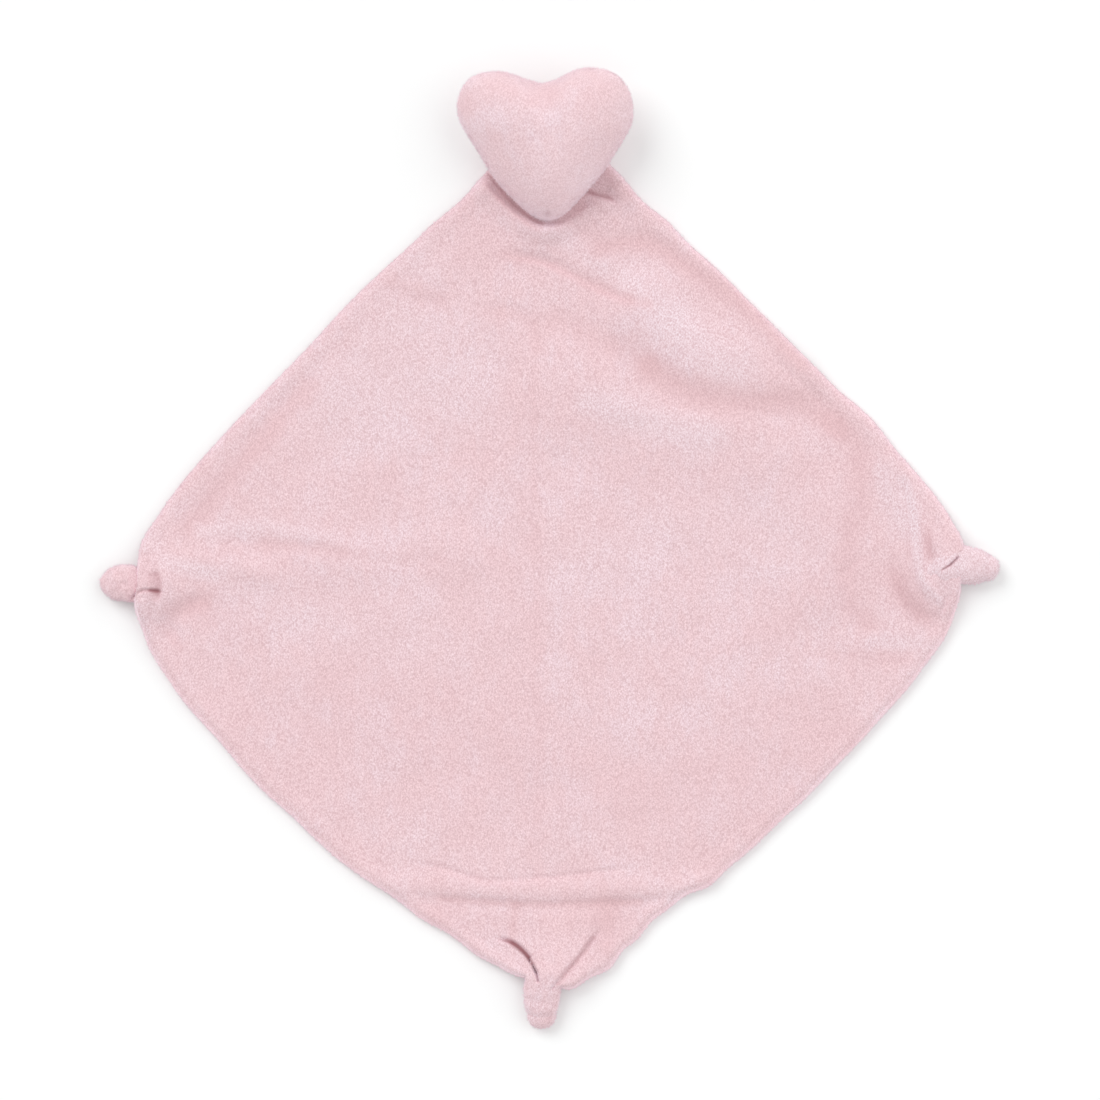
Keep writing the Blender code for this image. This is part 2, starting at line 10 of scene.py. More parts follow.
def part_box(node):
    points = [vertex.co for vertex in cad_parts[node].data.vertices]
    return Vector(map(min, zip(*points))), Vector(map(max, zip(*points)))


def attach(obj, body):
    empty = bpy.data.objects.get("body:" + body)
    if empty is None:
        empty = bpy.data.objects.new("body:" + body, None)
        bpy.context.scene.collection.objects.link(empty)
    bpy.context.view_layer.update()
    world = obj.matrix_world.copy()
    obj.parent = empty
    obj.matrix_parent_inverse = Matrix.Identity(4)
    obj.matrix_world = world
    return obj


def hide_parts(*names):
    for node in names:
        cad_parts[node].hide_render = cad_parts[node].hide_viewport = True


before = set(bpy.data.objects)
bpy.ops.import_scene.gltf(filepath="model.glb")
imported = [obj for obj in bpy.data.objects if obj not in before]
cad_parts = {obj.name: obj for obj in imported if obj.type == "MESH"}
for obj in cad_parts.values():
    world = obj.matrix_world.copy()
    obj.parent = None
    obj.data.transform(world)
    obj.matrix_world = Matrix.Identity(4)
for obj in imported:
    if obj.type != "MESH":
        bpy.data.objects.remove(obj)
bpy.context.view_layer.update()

scene = bpy.context.scene
mm = 0.001
halfMm = 0.0005                       # plan places are counted in half millimetres
planMiddle = 549                      # the count, right or down, that lies at x = 0 and y = 0
grainCells, grainSeed = 64, 4
nodeStep, nodeRow = 200, -300
grainTable = np.random.default_rng(grainSeed).random((grainCells, grainCells, grainCells))


def spot(u, v):
    # Plan places run right and down from the corner of the picture
    return (u - planMiddle) * halfMm, (planMiddle - v) * halfMm


def wave(t):
    # 1 at t = 0, easing to 0 at t = 1
    return (1 + np.cos(math.pi * np.clip(t, 0, 1))) / 2


def ease(t):
    t = np.clip(t, 0, 1)
    return t * t * (3 - 2 * t)


def around(x, y, place, reach):
    # 1 at the plan place, easing to 0 at the reach
    px, py = spot(*place)
    return wave(np.hypot(x - px, y - py) / reach)


def softMax(a, b, k):
    return (a + b + np.sqrt((a - b) ** 2 + k * k)) / 2


def grain(x, y, z, size):
    # Smooth random lumps of about the given size, from 0 to 1
    cells = [np.asarray(v, float) / size for v in (x, y, z)]
    whole = [np.floor(c).astype(int) for c in cells]
    parts = [ease(c - w) for c, w in zip(cells, whole)]
    total = 0
    for corner in np.ndindex(2, 2, 2):
        share = 1
        for step, part in zip(corner, parts):
            share = share * (part if step else 1 - part)
        total = total + share * grainTable[tuple((w + step) % grainCells for w, step in zip(whole, corner))]
    return total


def lumpy(x, y, z, size):
    # The same lumps from -1 to 1
    return (grain(x, y, z, size) - 0.5) * 2


def catmullRom(p0, p1, p2, p3, steps):
    # Points of a smooth curve from p1 towards p2
    return [((2 * p1) + (p2 - p0) * t + (2 * p0 - 5 * p1 + 4 * p2 - p3) * t ** 2
             + (3 * p1 - p0 - 3 * p2 + p3) * t ** 3) / 2 for t in np.linspace(0, 1, steps, endpoint=False)]


def planRoute(route, steps=6):
    # Given plan places, rounded so that folds run in curves
    pts = [np.array(p, float) for p in route]
    pts = [2 * pts[0] - pts[1]] + pts + [2 * pts[-1] - pts[-2]]
    curve = [p for four in zip(pts, pts[1:], pts[2:], pts[3:]) for p in catmullRom(*four, steps)]
    return [spot(*p) for p in curve + [pts[-2]]]


def alongRoute(x, y, route):
    # Distance to the route, the share of it passed, and the signed side (left of travel is positive)
    best = np.full(x.shape, np.inf)
    passed = np.zeros(x.shape)
    side = np.zeros(x.shape)
    lengths = [math.dist(p, q) for p, q in zip(route[:-1], route[1:])]
    total, done = sum(lengths), 0
    for (x0, y0), (x1, y1), length in zip(route[:-1], route[1:], lengths):
        dx, dy = (x1 - x0) / length, (y1 - y0) / length
        t = np.clip((x - x0) * dx + (y - y0) * dy, 0, length)
        off = np.hypot(x - x0 - t * dx, y - y0 - t * dy)
        cross = dx * (y - y0) - dy * (x - x0)
        closer = off < best
        best = np.where(closer, off, best)
        passed = np.where(closer, (done + t) / total, passed)
        side = np.where(closer, np.sign(cross) * off, side)
        done += length
    return best, passed, side


def newPiece(name, points, faces, material):
    mesh = bpy.data.meshes.new(name)
    mesh.from_pydata(np.asarray(points, float).tolist(), [], [tuple(int(i) for i in f) for f in faces])
    mesh.update()
    obj = bpy.data.objects.new(name, mesh)
    scene.collection.objects.link(obj)
    mesh.materials.append(material)
    mesh.shade_smooth()
    return obj


def pointsOf(obj):
    return np.array([v.co[:] for v in obj.data.vertices])


def normalsOf(obj):
    return np.array([v.normal[:] for v in obj.data.vertices])


def movePoints(obj, points):
    for vert, p in zip(obj.data.vertices, points):
        vert.co = p


def faceOutwards(obj, weld=0, smoothings=0):
    body = bmesh.new()
    body.from_mesh(obj.data)
    if weld:
        bmesh.ops.remove_doubles(body, verts=body.verts, dist=weld)
    bmesh.ops.recalc_face_normals(body, faces=body.faces)
    for _ in range(smoothings):
        bmesh.ops.smooth_vert(body, verts=body.verts, factor=0.5,
                              use_axis_x=True, use_axis_y=True, use_axis_z=True)
    body.to_mesh(obj.data)
    body.free()


def paintVerts(obj, name, values):
    layer = obj.data.attributes.new(name, "FLOAT", "POINT")
    layer.data.foreach_set("value", np.asarray(values, np.float32))


def readVerts(obj, name):
    values = np.zeros(len(obj.data.vertices))
    obj.data.attributes[name].data.foreach_get("value", values)
    return values


def paintEdgeOn(obj):
    # 0 where the surface lies level, 1 where it stands upright
    paintVerts(obj, "edgeOn", 1 - np.abs(normalsOf(obj)[:, 2]))


def applyAll(obj):
    bpy.ops.object.select_all(action="DESELECT")
    obj.select_set(True)
    bpy.context.view_layer.objects.active = obj
    for mod in list(obj.modifiers):
        bpy.ops.object.modifier_apply(modifier=mod.name)


def addNode(tree, kind, feeds=None, **values):
    # Each feed is a constant for the input, or another node's output that is linked to it. In the
    # editor the nodes stand in one row, in the order that they are made in.
    node = tree.nodes.new(kind)
    node.location = (nodeStep * len(tree.nodes), nodeRow)
    for key, value in values.items():
        setattr(node, key, value)
    feed(tree, node, feeds or {})
    return node


def feed(tree, node, feeds):
    for key, value in feeds.items():
        if isinstance(value, bpy.types.NodeSocket):
            tree.links.new(value, node.inputs[key])
        else:
            node.inputs[key].default_value = value


def opaque(colour):
    return (*colour, 1) if isinstance(colour, tuple) else colour


def newGroup(name, inputs, outputs):
    group = bpy.data.node_groups.new(name, "ShaderNodeTree")
    for label, value in inputs:
        socket = group.interface.new_socket(name=label, in_out="INPUT", socket_type="NodeSocketFloat")
        socket.default_value = value
    for label in outputs:
        group.interface.new_socket(name=label, in_out="OUTPUT", socket_type="NodeSocketFloat")
    return group, addNode(group, "NodeGroupInput"), addNode(group, "NodeGroupOutput")


def newMaterial(name):
    material = bpy.data.materials.new(name)
    material.use_nodes = True
    tree = material.node_tree
    return material, tree, tree.nodes["Principled BSDF"]


def mathNode(tree, operation, a, b, clamp=False):
    return addNode(tree, "ShaderNodeMath", {0: a, 1: b}, operation=operation, use_clamp=clamp).outputs[0]


def mixColour(tree, factor, a, b):
    feeds = {0: factor, 6: opaque(a), 7: opaque(b)}
    return addNode(tree, "ShaderNodeMix", feeds, data_type="RGBA").outputs[2]


def mixValue(tree, factor, a, b):
    return addNode(tree, "ShaderNodeMix", {0: factor, 2: a, 3: b}, data_type="FLOAT").outputs[0]


def noise(tree, vector, scale, detail, roughness, distortion=0.0):
    return addNode(tree, "ShaderNodeTexNoise", {
        "Vector": vector, "Scale": scale, "Detail": detail, "Roughness": roughness, "Distortion": distortion})


def stretch(tree, low, high, value):
    feeds = {"From Min": low, "From Max": high, "Value": value}
    return addNode(tree, "ShaderNodeMapRange", feeds).outputs["Result"]


def drawOut(tree, vector, scale, angle=0.0):
    feeds = {"Vector": vector, "Scale": scale, "Rotation": (0, 0, angle)}
    return addNode(tree, "ShaderNodeMapping", feeds).outputs[0]


def objectCoords(tree):
    return addNode(tree, "ShaderNodeTexCoord").outputs["Object"]


def addBump(tree, shader, height, strength, distance):
    feeds = {"Strength": strength, "Distance": distance, "Height": height}
    feed(tree, shader, {"Normal": addNode(tree, "ShaderNodeBump", feeds).outputs["Normal"]})


# Each noise in these tables is its scale, its detail and its roughness
napForm = {
    "drift": (380, 2, 0.6), "sway": (0.0030, 0.0030, 0.0030),             # how the curls wander
    "tufts": 760, "tuftDraw": (1.0, 0.62, 1.0), "tuftRange": (0.74, 0.20), "tuftShare": 0.5,
    "strokes": (1150, 2, 0.6), "strokeDraw": (1.0, 0.45, 1.0), "strokeRange": (0.36, 0.64),
    "strokeAngles": (0.15, -0.35), "strokeShare": 0.5,
    "patches": (160, 1, 0.5), "patchRange": (0.42, 0.58),  # where the strokes lie one way or the other
    "toneRange": (0.15, 0.85),
}


def plushNapGroup():
    # Short curled pile: tufts about a millimetre across, with painted shade between them in the material, and
    # strokes mostly along the cloth
    group, start, end = newGroup("plushNap", [("Tuft Size", 1.0)], ["Height", "Tone"])
    finer = mathNode(group, "DIVIDE", 1.0, start.outputs["Tuft Size"])
    feeds = {0: objectCoords(group), "Scale": finer}
    place = addNode(group, "ShaderNodeVectorMath", feeds, operation="SCALE").outputs[0]
    drift = noise(group, place, *napForm["drift"])
    feeds = {0: drift.outputs["Color"], 1: napForm["sway"], 2: place}
    curled = addNode(group, "ShaderNodeVectorMath", feeds, operation="MULTIPLY_ADD").outputs[0]
    long = drawOut(group, curled, napForm["tuftDraw"])
    feeds = {"Scale": napForm["tufts"], "Vector": long}
    tuft = addNode(group, "ShaderNodeTexVoronoi", feeds, feature="F1")
    tufts = stretch(group, *napForm["tuftRange"], tuft.outputs["Distance"])
    layers = []
    for angle in napForm["strokeAngles"]:
        turned = drawOut(group, curled, napForm["strokeDraw"], angle)
        layers.append(noise(group, turned, *napForm["strokes"]).outputs["Fac"])
    patch = noise(group, place, *napForm["patches"]).outputs["Fac"]
    patch = stretch(group, *napForm["patchRange"], patch)
    strokes = mixValue(group, patch, layers[0], layers[1])
    strokes = stretch(group, *napForm["strokeRange"], strokes)
    tufts = mathNode(group, "MULTIPLY", tufts, napForm["tuftShare"])
    strokes = mathNode(group, "MULTIPLY", strokes, napForm["strokeShare"])
    height = mathNode(group, "ADD", tufts, strokes)
    feed(group, end, {"Height": height, "Tone": stretch(group, *napForm["toneRange"], height)})
    return group


toneForm = {"broad": (30, 2, 0.5), "broadShare": 0.55, "small": (150, 3, 0.65), "smallShare": 0.45,
            "draw": (1.0, 0.45, 1.0), "range": (0.40, 0.62)}


def plushToneGroup():
    # Slow drifts of tint over the cloth, towards cooler and towards rosier
    group, start, end = newGroup("plushTone", [("Amount", 1.0)], ["Cool", "Rose"])
    coords = objectCoords(group)
    drawn = drawOut(group, coords, toneForm["draw"])
    broad = noise(group, coords, *toneForm["broad"]).outputs["Fac"]
    small = noise(group, drawn, *toneForm["small"]).outputs["Fac"]
    broad = mathNode(group, "MULTIPLY", broad, toneForm["broadShare"])
    small = mathNode(group, "MULTIPLY", small, toneForm["smallShare"])
    drift = stretch(group, *toneForm["range"], mathNode(group, "ADD", broad, small))
    back = mathNode(group, "SUBTRACT", 1.0, drift)
    for label, value in (("Cool", drift), ("Rose", back)):
        feed(group, end, {label: mathNode(group, "MULTIPLY", value, start.outputs["Amount"], clamp=True)})
    return group


napGroup = plushNapGroup()
toneGroup = plushToneGroup()

plushLook = {
    "base": (0.905, 0.712, 0.750),
    "cool": (0.910, 0.742, 0.795),
    "rose": (0.890, 0.672, 0.704),
    "paintedHighlight": (0.912, 0.800, 0.860),      # painted highlight
    "laid": (0.820, 0.572, 0.595),        # painted shade
    # painted shade colour for creases, pits and under the heart
    "crease": (0.40, 0.190, 0.210),
    "rim": (0.930, 0.800, 0.870),         # painted sheen and painted glow colour: pile seen edge on drawn paler
    "sheenShare": 0.65, "sheenPower": 2.0,
    "gapShade": (0.585, 0.355, 0.380),        # painted shade between the tufts
    "glowPower": 3.0,
    "edgeGlow": 0.85,                     # share of the painted glow at the cloth's edges
    "napRise": 0.0005,
    "napBump": 0.25,
    "finish": {"Roughness": 0.95, "Specular IOR Level": 0.15, "Sheen Weight": 0.3, "Sheen Roughness": 0.5,
               "Sheen Tint": (1.0, 0.90, 0.93, 1)},
}


def plushMaterial(name, tuft=0.52, gapShadeAmount=0.72, rimGlow=0.22):
    look = plushLook
    material, tree, shader = newMaterial(name)
    nap = addNode(tree, "ShaderNodeGroup", {"Tuft Size": tuft}, node_tree=napGroup)
    tone = addNode(tree, "ShaderNodeGroup", node_tree=toneGroup)
    paintedShade, paintedLightShade, backLit, edgeOn = (
        addNode(tree, "ShaderNodeAttribute", attribute_name=label).outputs["Fac"]
        for label in ("paintedShade", "paintedLightShade", "backLit", "edgeOn"))
    # painted highlight above 0, painted shade below 0
    up = mathNode(tree, "MAXIMUM", paintedLightShade, 0.0, clamp=True)
    down = mathNode(tree, "MULTIPLY", paintedLightShade, -1.0, clamp=True)
    # painted shade in the gaps between the tufts
    gapShade = mathNode(tree, "SUBTRACT", 1.0, nap.outputs["Tone"])
    gapShade = mathNode(tree, "MULTIPLY", gapShade, gapShadeAmount)
    # painted sheen where the pile stands edge on
    rim = mathNode(tree, "POWER", edgeOn, look["sheenPower"])
    rim = mathNode(tree, "MULTIPLY", rim, look["sheenShare"], clamp=True)
    colour = mixColour(tree, tone.outputs["Cool"], look["base"], look["cool"])
    layers = ((tone.outputs["Rose"], "rose"), (up, "paintedHighlight"), (down, "laid"), (gapShade, "gapShade"), (rim, "rim"),
              (paintedShade, "crease"))
    for share, label in layers:
        colour = mixColour(tree, share, colour, look[label])
    # painted glow: emission where the pile stands upright and along the cloth's edges
    upright = mathNode(tree, "POWER", edgeOn, look["glowPower"])
    behind = mathNode(tree, "MULTIPLY", backLit, look["edgeGlow"])
    through = mathNode(tree, "ADD", upright, behind, clamp=True)
    glow = mixColour(tree, through, (0.0, 0.0, 0.0), look["rim"])
    feeds = {"Base Color": colour, "Emission Color": glow, "Emission Strength": rimGlow, **look["finish"]}
    feed(tree, shader, feeds)
    addBump(tree, shader, nap.outputs["Height"], look["napBump"], look["napRise"])
    return material


threadLook = {"colour": (0.74, 0.47, 0.52), "shade": 0.72, "plies": 700, "waver": 1.5,
              "bump": 0.5, "rise": 0.0001, "roughness": 0.55}


def threadMaterial(name):
    # Twisted sewing thread: fine slanted plies
    look = threadLook
    material, tree, shader = newMaterial(name)
    feeds = {"Scale": look["plies"], "Distortion": look["waver"], "Vector": objectCoords(tree)}
    ply = addNode(tree, "ShaderNodeTexWave", feeds, wave_type="BANDS", bands_direction="DIAGONAL")
    ply = ply.outputs["Fac"]
    darker = tuple(c * look["shade"] for c in look["colour"])
    shade = mixColour(tree, ply, darker, look["colour"])
    feed(tree, shader, {"Base Color": shade, "Roughness": look["roughness"]})
    addBump(tree, shader, ply, look["bump"], look["rise"])
    return material


fibreLook = {"between": (0.70, 0.69, 0.67), "strand": (0.93, 0.92, 0.90),
             "tangles": (420, 5, 0.7), "swirl": 3.0, "bump": 1.0, "rise": 0.0006, "roughness": 0.9}


def fibreMaterial(name):
    # Loose polyester fibre: tangled pale strands
    look = fibreLook
    material, tree, shader = newMaterial(name)
    coords = objectCoords(tree)
    tangle = noise(tree, coords, *look["tangles"], look["swirl"]).outputs["Fac"]
    shade = mixColour(tree, tangle, look["between"], look["strand"])
    feed(tree, shader, {"Base Color": shade, "Roughness": look["roughness"]})
    addBump(tree, shader, tangle, look["bump"], look["rise"])
    return material


blanketPlush = plushMaterial("blanketPlush")
knotPlush = plushMaterial("knotPlush", rimGlow=0.13)
heartPlush = plushMaterial("heartPlush", tuft=0.55, gapShadeAmount=0.60, rimGlow=0.15)
pinkThread = threadMaterial("pinkThread")
paleFibre = fibreMaterial("polyesterFibre")
print("materials built")


cloth = {
    "width": 0.334, "length": 0.344,
    "middle": (-0.0021, -0.0166),
    "layer": 0.0026, "gap": 0.0003,
    "cells": 290, "backCells": 170, "insideCells": 58, "insideShare": 0.996,
    "edgeCrowding": 0.52,             # 0 spaces the cells evenly, near 1 crowds them to the edges
    "edgeRound": 0.0052,
    "fullerBy": 0.9, "fullerReach": 0.030,                # near the knots
    "foldClear": 0.0035, "clearWays": 8,                  # how far the inner faces keep from the folds
    "lumpSize": 0.0024, "lumpRise": 0.00007, "lumpEdge": 0.003,
    "rimReach": 0.0035,
    "raggedSize": 0.0021, "raggedRim": 0.00010, "raggedLevels": (0.05, 0.09),
    "corners": {
        "left": {"signs": (-1, -1), "draw": 0.0370, "shift": -0.0020, "fades": (8.2, 8.2)},
        "right": {"signs": (1, 1), "draw": 0.0330, "shift": 0.0060, "fades": (10.0, 10.0)},
        "bottom": {"signs": (1, -1), "draw": 0.0400, "shift": 0.0045, "fades": (4.7, 5.4)},
        "top": {"signs": (-1, 1), "draw": 0.0050, "shift": 0.0, "fades": (9.0, 9.0)},
    },
}
seamAllowance = {"rise": 0.0005, "at": 0.0055, "width": 0.0060}       # it makes the rim a little fuller
swells = {"rise": 0.0004, "across": 95, "up": 88, "start": 0.7, "bend": 1.3, "bends": 70}
# Least thicknesses: both layers, the front one and the back one, each with what is left at the very edge
thinnest = {"both": (0.0020, 0.0002), "blend": 0.0012, "front": (0.0007, 0.00005), "back": 0.0002}
# Painted glow along each edge, as if light came through the pile, as far in as the reach
edgeLight = {"upperLeft": 0.4, "upperRight": 0.85, "lowerLeft": 1.05, "lowerRight": 1.3, "reach": 0.0034}
# Where the edge lies further out or in than the drawn-in square: place, push right and down, reach
nudges = [
    ((190, 708), (-1.9, 1.6), 70), ((262, 784), (-3.6, 3.6), 90), ((330, 848), (-2.8, 3.1), 70),
    ((400, 905), (1.8, -2.3), 46), ((446, 939), (2.7, -4.3), 44), ((516, 973), (-0.7, 2.1), 26),
    ((570, 977), (3.5, 12.5), 32), ((602, 964), (5.0, 9.0), 30), ((660, 924), (-4.2, -5.5), 34),
    ((686, 903), (-3.8, -4.6), 30), ((710, 882), (1.9, 2.2), 30), ((750, 845), (2.6, 2.8), 60),
    ((803, 794), (3.3, 3.4), 70), ((855, 742), (2.5, 2.4), 70), ((905, 688), (1.8, 1.5), 60),
    ((942, 640), (1.7, 1.0), 34), ((961, 546), (2.5, -0.5), 26), ((868, 420), (2.8, -2.7), 50),
    ((646, 198), (-2.7, 2.8), 40), ((690, 242), (-1.3, 1.4), 44), ((458, 198), (2.1, 2.2), 44),
    ((357, 297), (-1.9, -1.9), 90), ((137, 605), (-2.5, 0.3), 26), ((143, 542), (-2.2, -0.9), 30),
    ((152, 656), (-1.2, 0.6), 34),
]


def cornerWay(signs):
    return (signs[0] + signs[1]) / 2, (signs[1] - signs[0]) / 2


def clothPlan(a, b):
    # From the cut square, where each side runs from -1 to 1, to where the cloth lies
    p, q = a * cloth["width"] / 2, b * cloth["length"] / 2
    x, y = (p + q) / math.sqrt(2), (q - p) / math.sqrt(2)
    for c in cloth["corners"].values():
        s = c["signs"]
        near = ((1 + a * s[0]) / 2) ** c["fades"][0] * ((1 + b * s[1]) / 2) ** c["fades"][1]
        wayX, wayY = cornerWay(s)
        x = x - near * (c["draw"] * wayX + c["shift"] * wayY)
        y = y - near * (c["draw"] * wayY - c["shift"] * wayX)
    x, y = x + cloth["middle"][0], y + cloth["middle"][1]
    pushX, pushY = 0, 0
    for place, (right, down), reach in nudges:
        share = around(x, y, place, reach * halfMm)
        pushX, pushY = pushX + share * right * halfMm, pushY - share * down * halfMm
    return x + pushX, y + pushY


cornerSpots = {name: tuple(float(v) for v in clothPlan(np.float64(c["signs"][0]), np.float64(c["signs"][1])))
               for name, c in cloth["corners"].items()}
tiedCorners = [cornerSpots[name] for name in ("left", "right", "bottom")]

# Broad folds, which lift the whole cloth off the table: height, half width, route
broadFolds = [
    (0.0034, 0.026, [(641, 309), (693, 352), (751, 364), (794, 376)]),
    (0.0022, 0.038, [(554, 390), (645, 415), (722, 438), (789, 453), (818, 510), (823, 573)]),
    (0.0013, 0.020, [(161, 585), (267, 568), (363, 558), (459, 555)]),
]
tuck = {"rise": 0.0013, "width": 0.0098, "place": (545, 888), "bow": (0.0035, 0.0055), "reach": 0.0863,
        "endsAt": 0.8, "endsOver": 0.5}
gather = {"rise": 0.0025, "reach": 0.048}
tipLift = {"rise": 0.0030, "reach": 0.022, "place": (540, 232)}     # the cloth is drawn up to the heart's tip

# Fine folds in the upper face: depth in mm (minus is a crease), half widths left and right of the way
# that the route runs, in half mm, and the route
fineFolds = [
    # under the heart, upper right
    (3.0, 7, 20, [(466, 164), (480, 180), (492, 194), (506, 207), (520, 219), (536, 228), (552, 229),
                  (572, 222)]),
    (1.2, 8, 14, [(540, 230), (562, 227), (582, 213), (598, 203), (618, 205)]),
    (-1.9, 12, 3.4, [(556, 182), (576, 188.5), (592, 193), (606, 197), (622, 204)]),
    (-1.2, 10, 7, [(500, 253), (545, 261), (582, 279), (620, 297), (652, 305)]),
    (0.5, 18, 18, [(540, 238), (590, 256), (630, 276), (670, 290)]),
    (-1.15, 16, 20, [(600, 248), (638, 239), (672, 252), (705, 276), (735, 300), (765, 325)]),
    (0.6, 34, 34, [(640, 312), (700, 345), (745, 368)]),
    (-0.6, 24, 26, [(540, 316), (590, 334), (645, 360)]),
    (-1.0, 22, 32, [(628, 350), (680, 387), (735, 402), (800, 405), (842, 424)]),
    (0.5, 26, 26, [(590, 404), (640, 416), (700, 428), (760, 434)]),
    (-0.5, 11, 11, [(762, 355), (785, 370), (812, 392), (835, 412)]),
    (-0.9, 22, 22, [(825, 400), (850, 440), (860, 480), (862, 515), (850, 545), (842, 562)]),
    (-0.5, 16, 16, [(845, 560), (848, 600), (862, 625), (880, 632)]),
    (-0.6, 7, 7, [(828, 580), (845, 572), (858, 560), (872, 554)]),
    (0.5, 18, 18, [(872, 450), (892, 490), (900, 530)]),
    (-0.5, 12, 12, [(470, 314), (505, 309), (525, 318), (537, 338), (541, 356)]),
    (-0.7, 12, 12, [(398, 282), (412, 300), (450, 304)]),
    (-0.35, 9, 9, [(450, 365), (452, 390)]),
    # upper left, inside the edge
    (-0.9, 18, 18, [(345, 330), (300, 385), (258, 440), (218, 492), (190, 525), (160, 553)]),
    (0.4, 14, 14, [(325, 318), (275, 372), (230, 425), (190, 475), (160, 520)]),
    # left
    (0.8, 15, 13, [(195, 536), (245, 530), (300, 535), (350, 545)]),
    (-0.55, 10, 14, [(222, 549), (265, 546), (310, 548), (345, 555), (400, 563), (470, 548)]),
    (1.0, 20, 20, [(166, 566), (195, 560), (240, 566), (290, 580)]),
    (-1.1, 15, 15, [(212, 596), (190, 606), (170, 622), (176, 648)]),
    (-0.5, 18, 18, [(230, 570), (238, 610), (232, 660), (240, 700)]),
    (-1.9, 3.2, 14, [(155, 568), (159, 578), (160.5, 589), (157, 603)]),
    (-1.2, 12, 10, [(142, 550), (146, 564), (152, 580)]),
    (-1.3, 2.4, 3.4, [(120, 608), (130, 598), (139, 591.5), (150, 590), (166, 593)]),
    (0.9, 9, 9, [(140, 598), (142, 608), (140, 622)]),
    # middle: the faint cross where it was folded for the shelf
    (-0.16, 11, 11, [(533, 350), (531, 460), (536, 560), (540, 660), (536, 780), (536, 880)]),
    (-0.18, 10, 10, [(370, 457), (450, 455), (530, 459), (620, 456)]),
    (-0.4, 14, 14, [(805, 652), (850, 660), (920, 659)]),
    (-0.4, 24, 24, [(360, 800), (460, 770), (560, 790), (700, 740)]),
    # bottom
    (-1.0, 5, 6, [(398, 862), (440, 868), (466, 876), (488, 881), (520, 880), (560, 877), (600, 872),
                  (645, 868)]),
    (0.25, 12, 10, [(385, 880), (450, 887), (520, 891), (590, 889), (660, 886), (705, 874)]),
    (-0.9, 7, 16, [(384, 894), (440, 899), (480, 902), (536, 905), (584, 904), (624, 902), (668, 899),
                   (706, 888)]),
    (-0.7, 9, 9, [(519, 905), (516, 922), (512, 944)]),
    (-0.7, 20, 20, [(632, 902), (612, 922), (596, 946)]),
    (-3.9, 5.5, 2.4, [(494, 939), (506, 942), (514, 945), (521, 950.5), (529.5, 960), (535, 970),
                      (538, 983), (540, 1004)]),
    (0.8, 14, 14, [(462, 946), (498, 962), (522, 976), (532, 992)]),
    (0.8, 22, 22, [(550, 915), (554, 950), (549, 990)]),
    (-1.6, 5, 5, [(604, 925), (590, 945), (578, 960), (564, 976), (552, 990), (545, 1000)]),
    (0.7, 16, 16, [(615, 940), (592, 968), (566, 990)]),
    # right
    (1.7, 10, 11, [(908, 470), (914, 510), (916, 550), (922, 578), (934, 596), (950, 606)]),
    (-1.45, 12, 26, [(884, 545), (896, 575), (905, 598), (917, 611), (934, 620), (960, 626)]),
    (-0.9, 10, 10, [(927, 525), (928, 550), (933, 580)]),
    (-0.6, 5, 5, [(936, 548), (937, 574)]),
    (-2.4, 4.0, 2.2, [(933, 573), (941, 570), (948, 566), (956, 559), (966, 550)]),
    (-0.7, 4, 4, [(945, 594), (946, 604), (940, 614)]),
]
foldEnds = {"over": 0.22, "least": 0.1, "gone": 0.001}              # how the folds run out, as shares
# Single swellings: depth in mm, half widths across and up, place
swellings = [
    (0.5, 30, 20, (700, 330)),
    (0.5, 40, 16, (640, 412)),
]
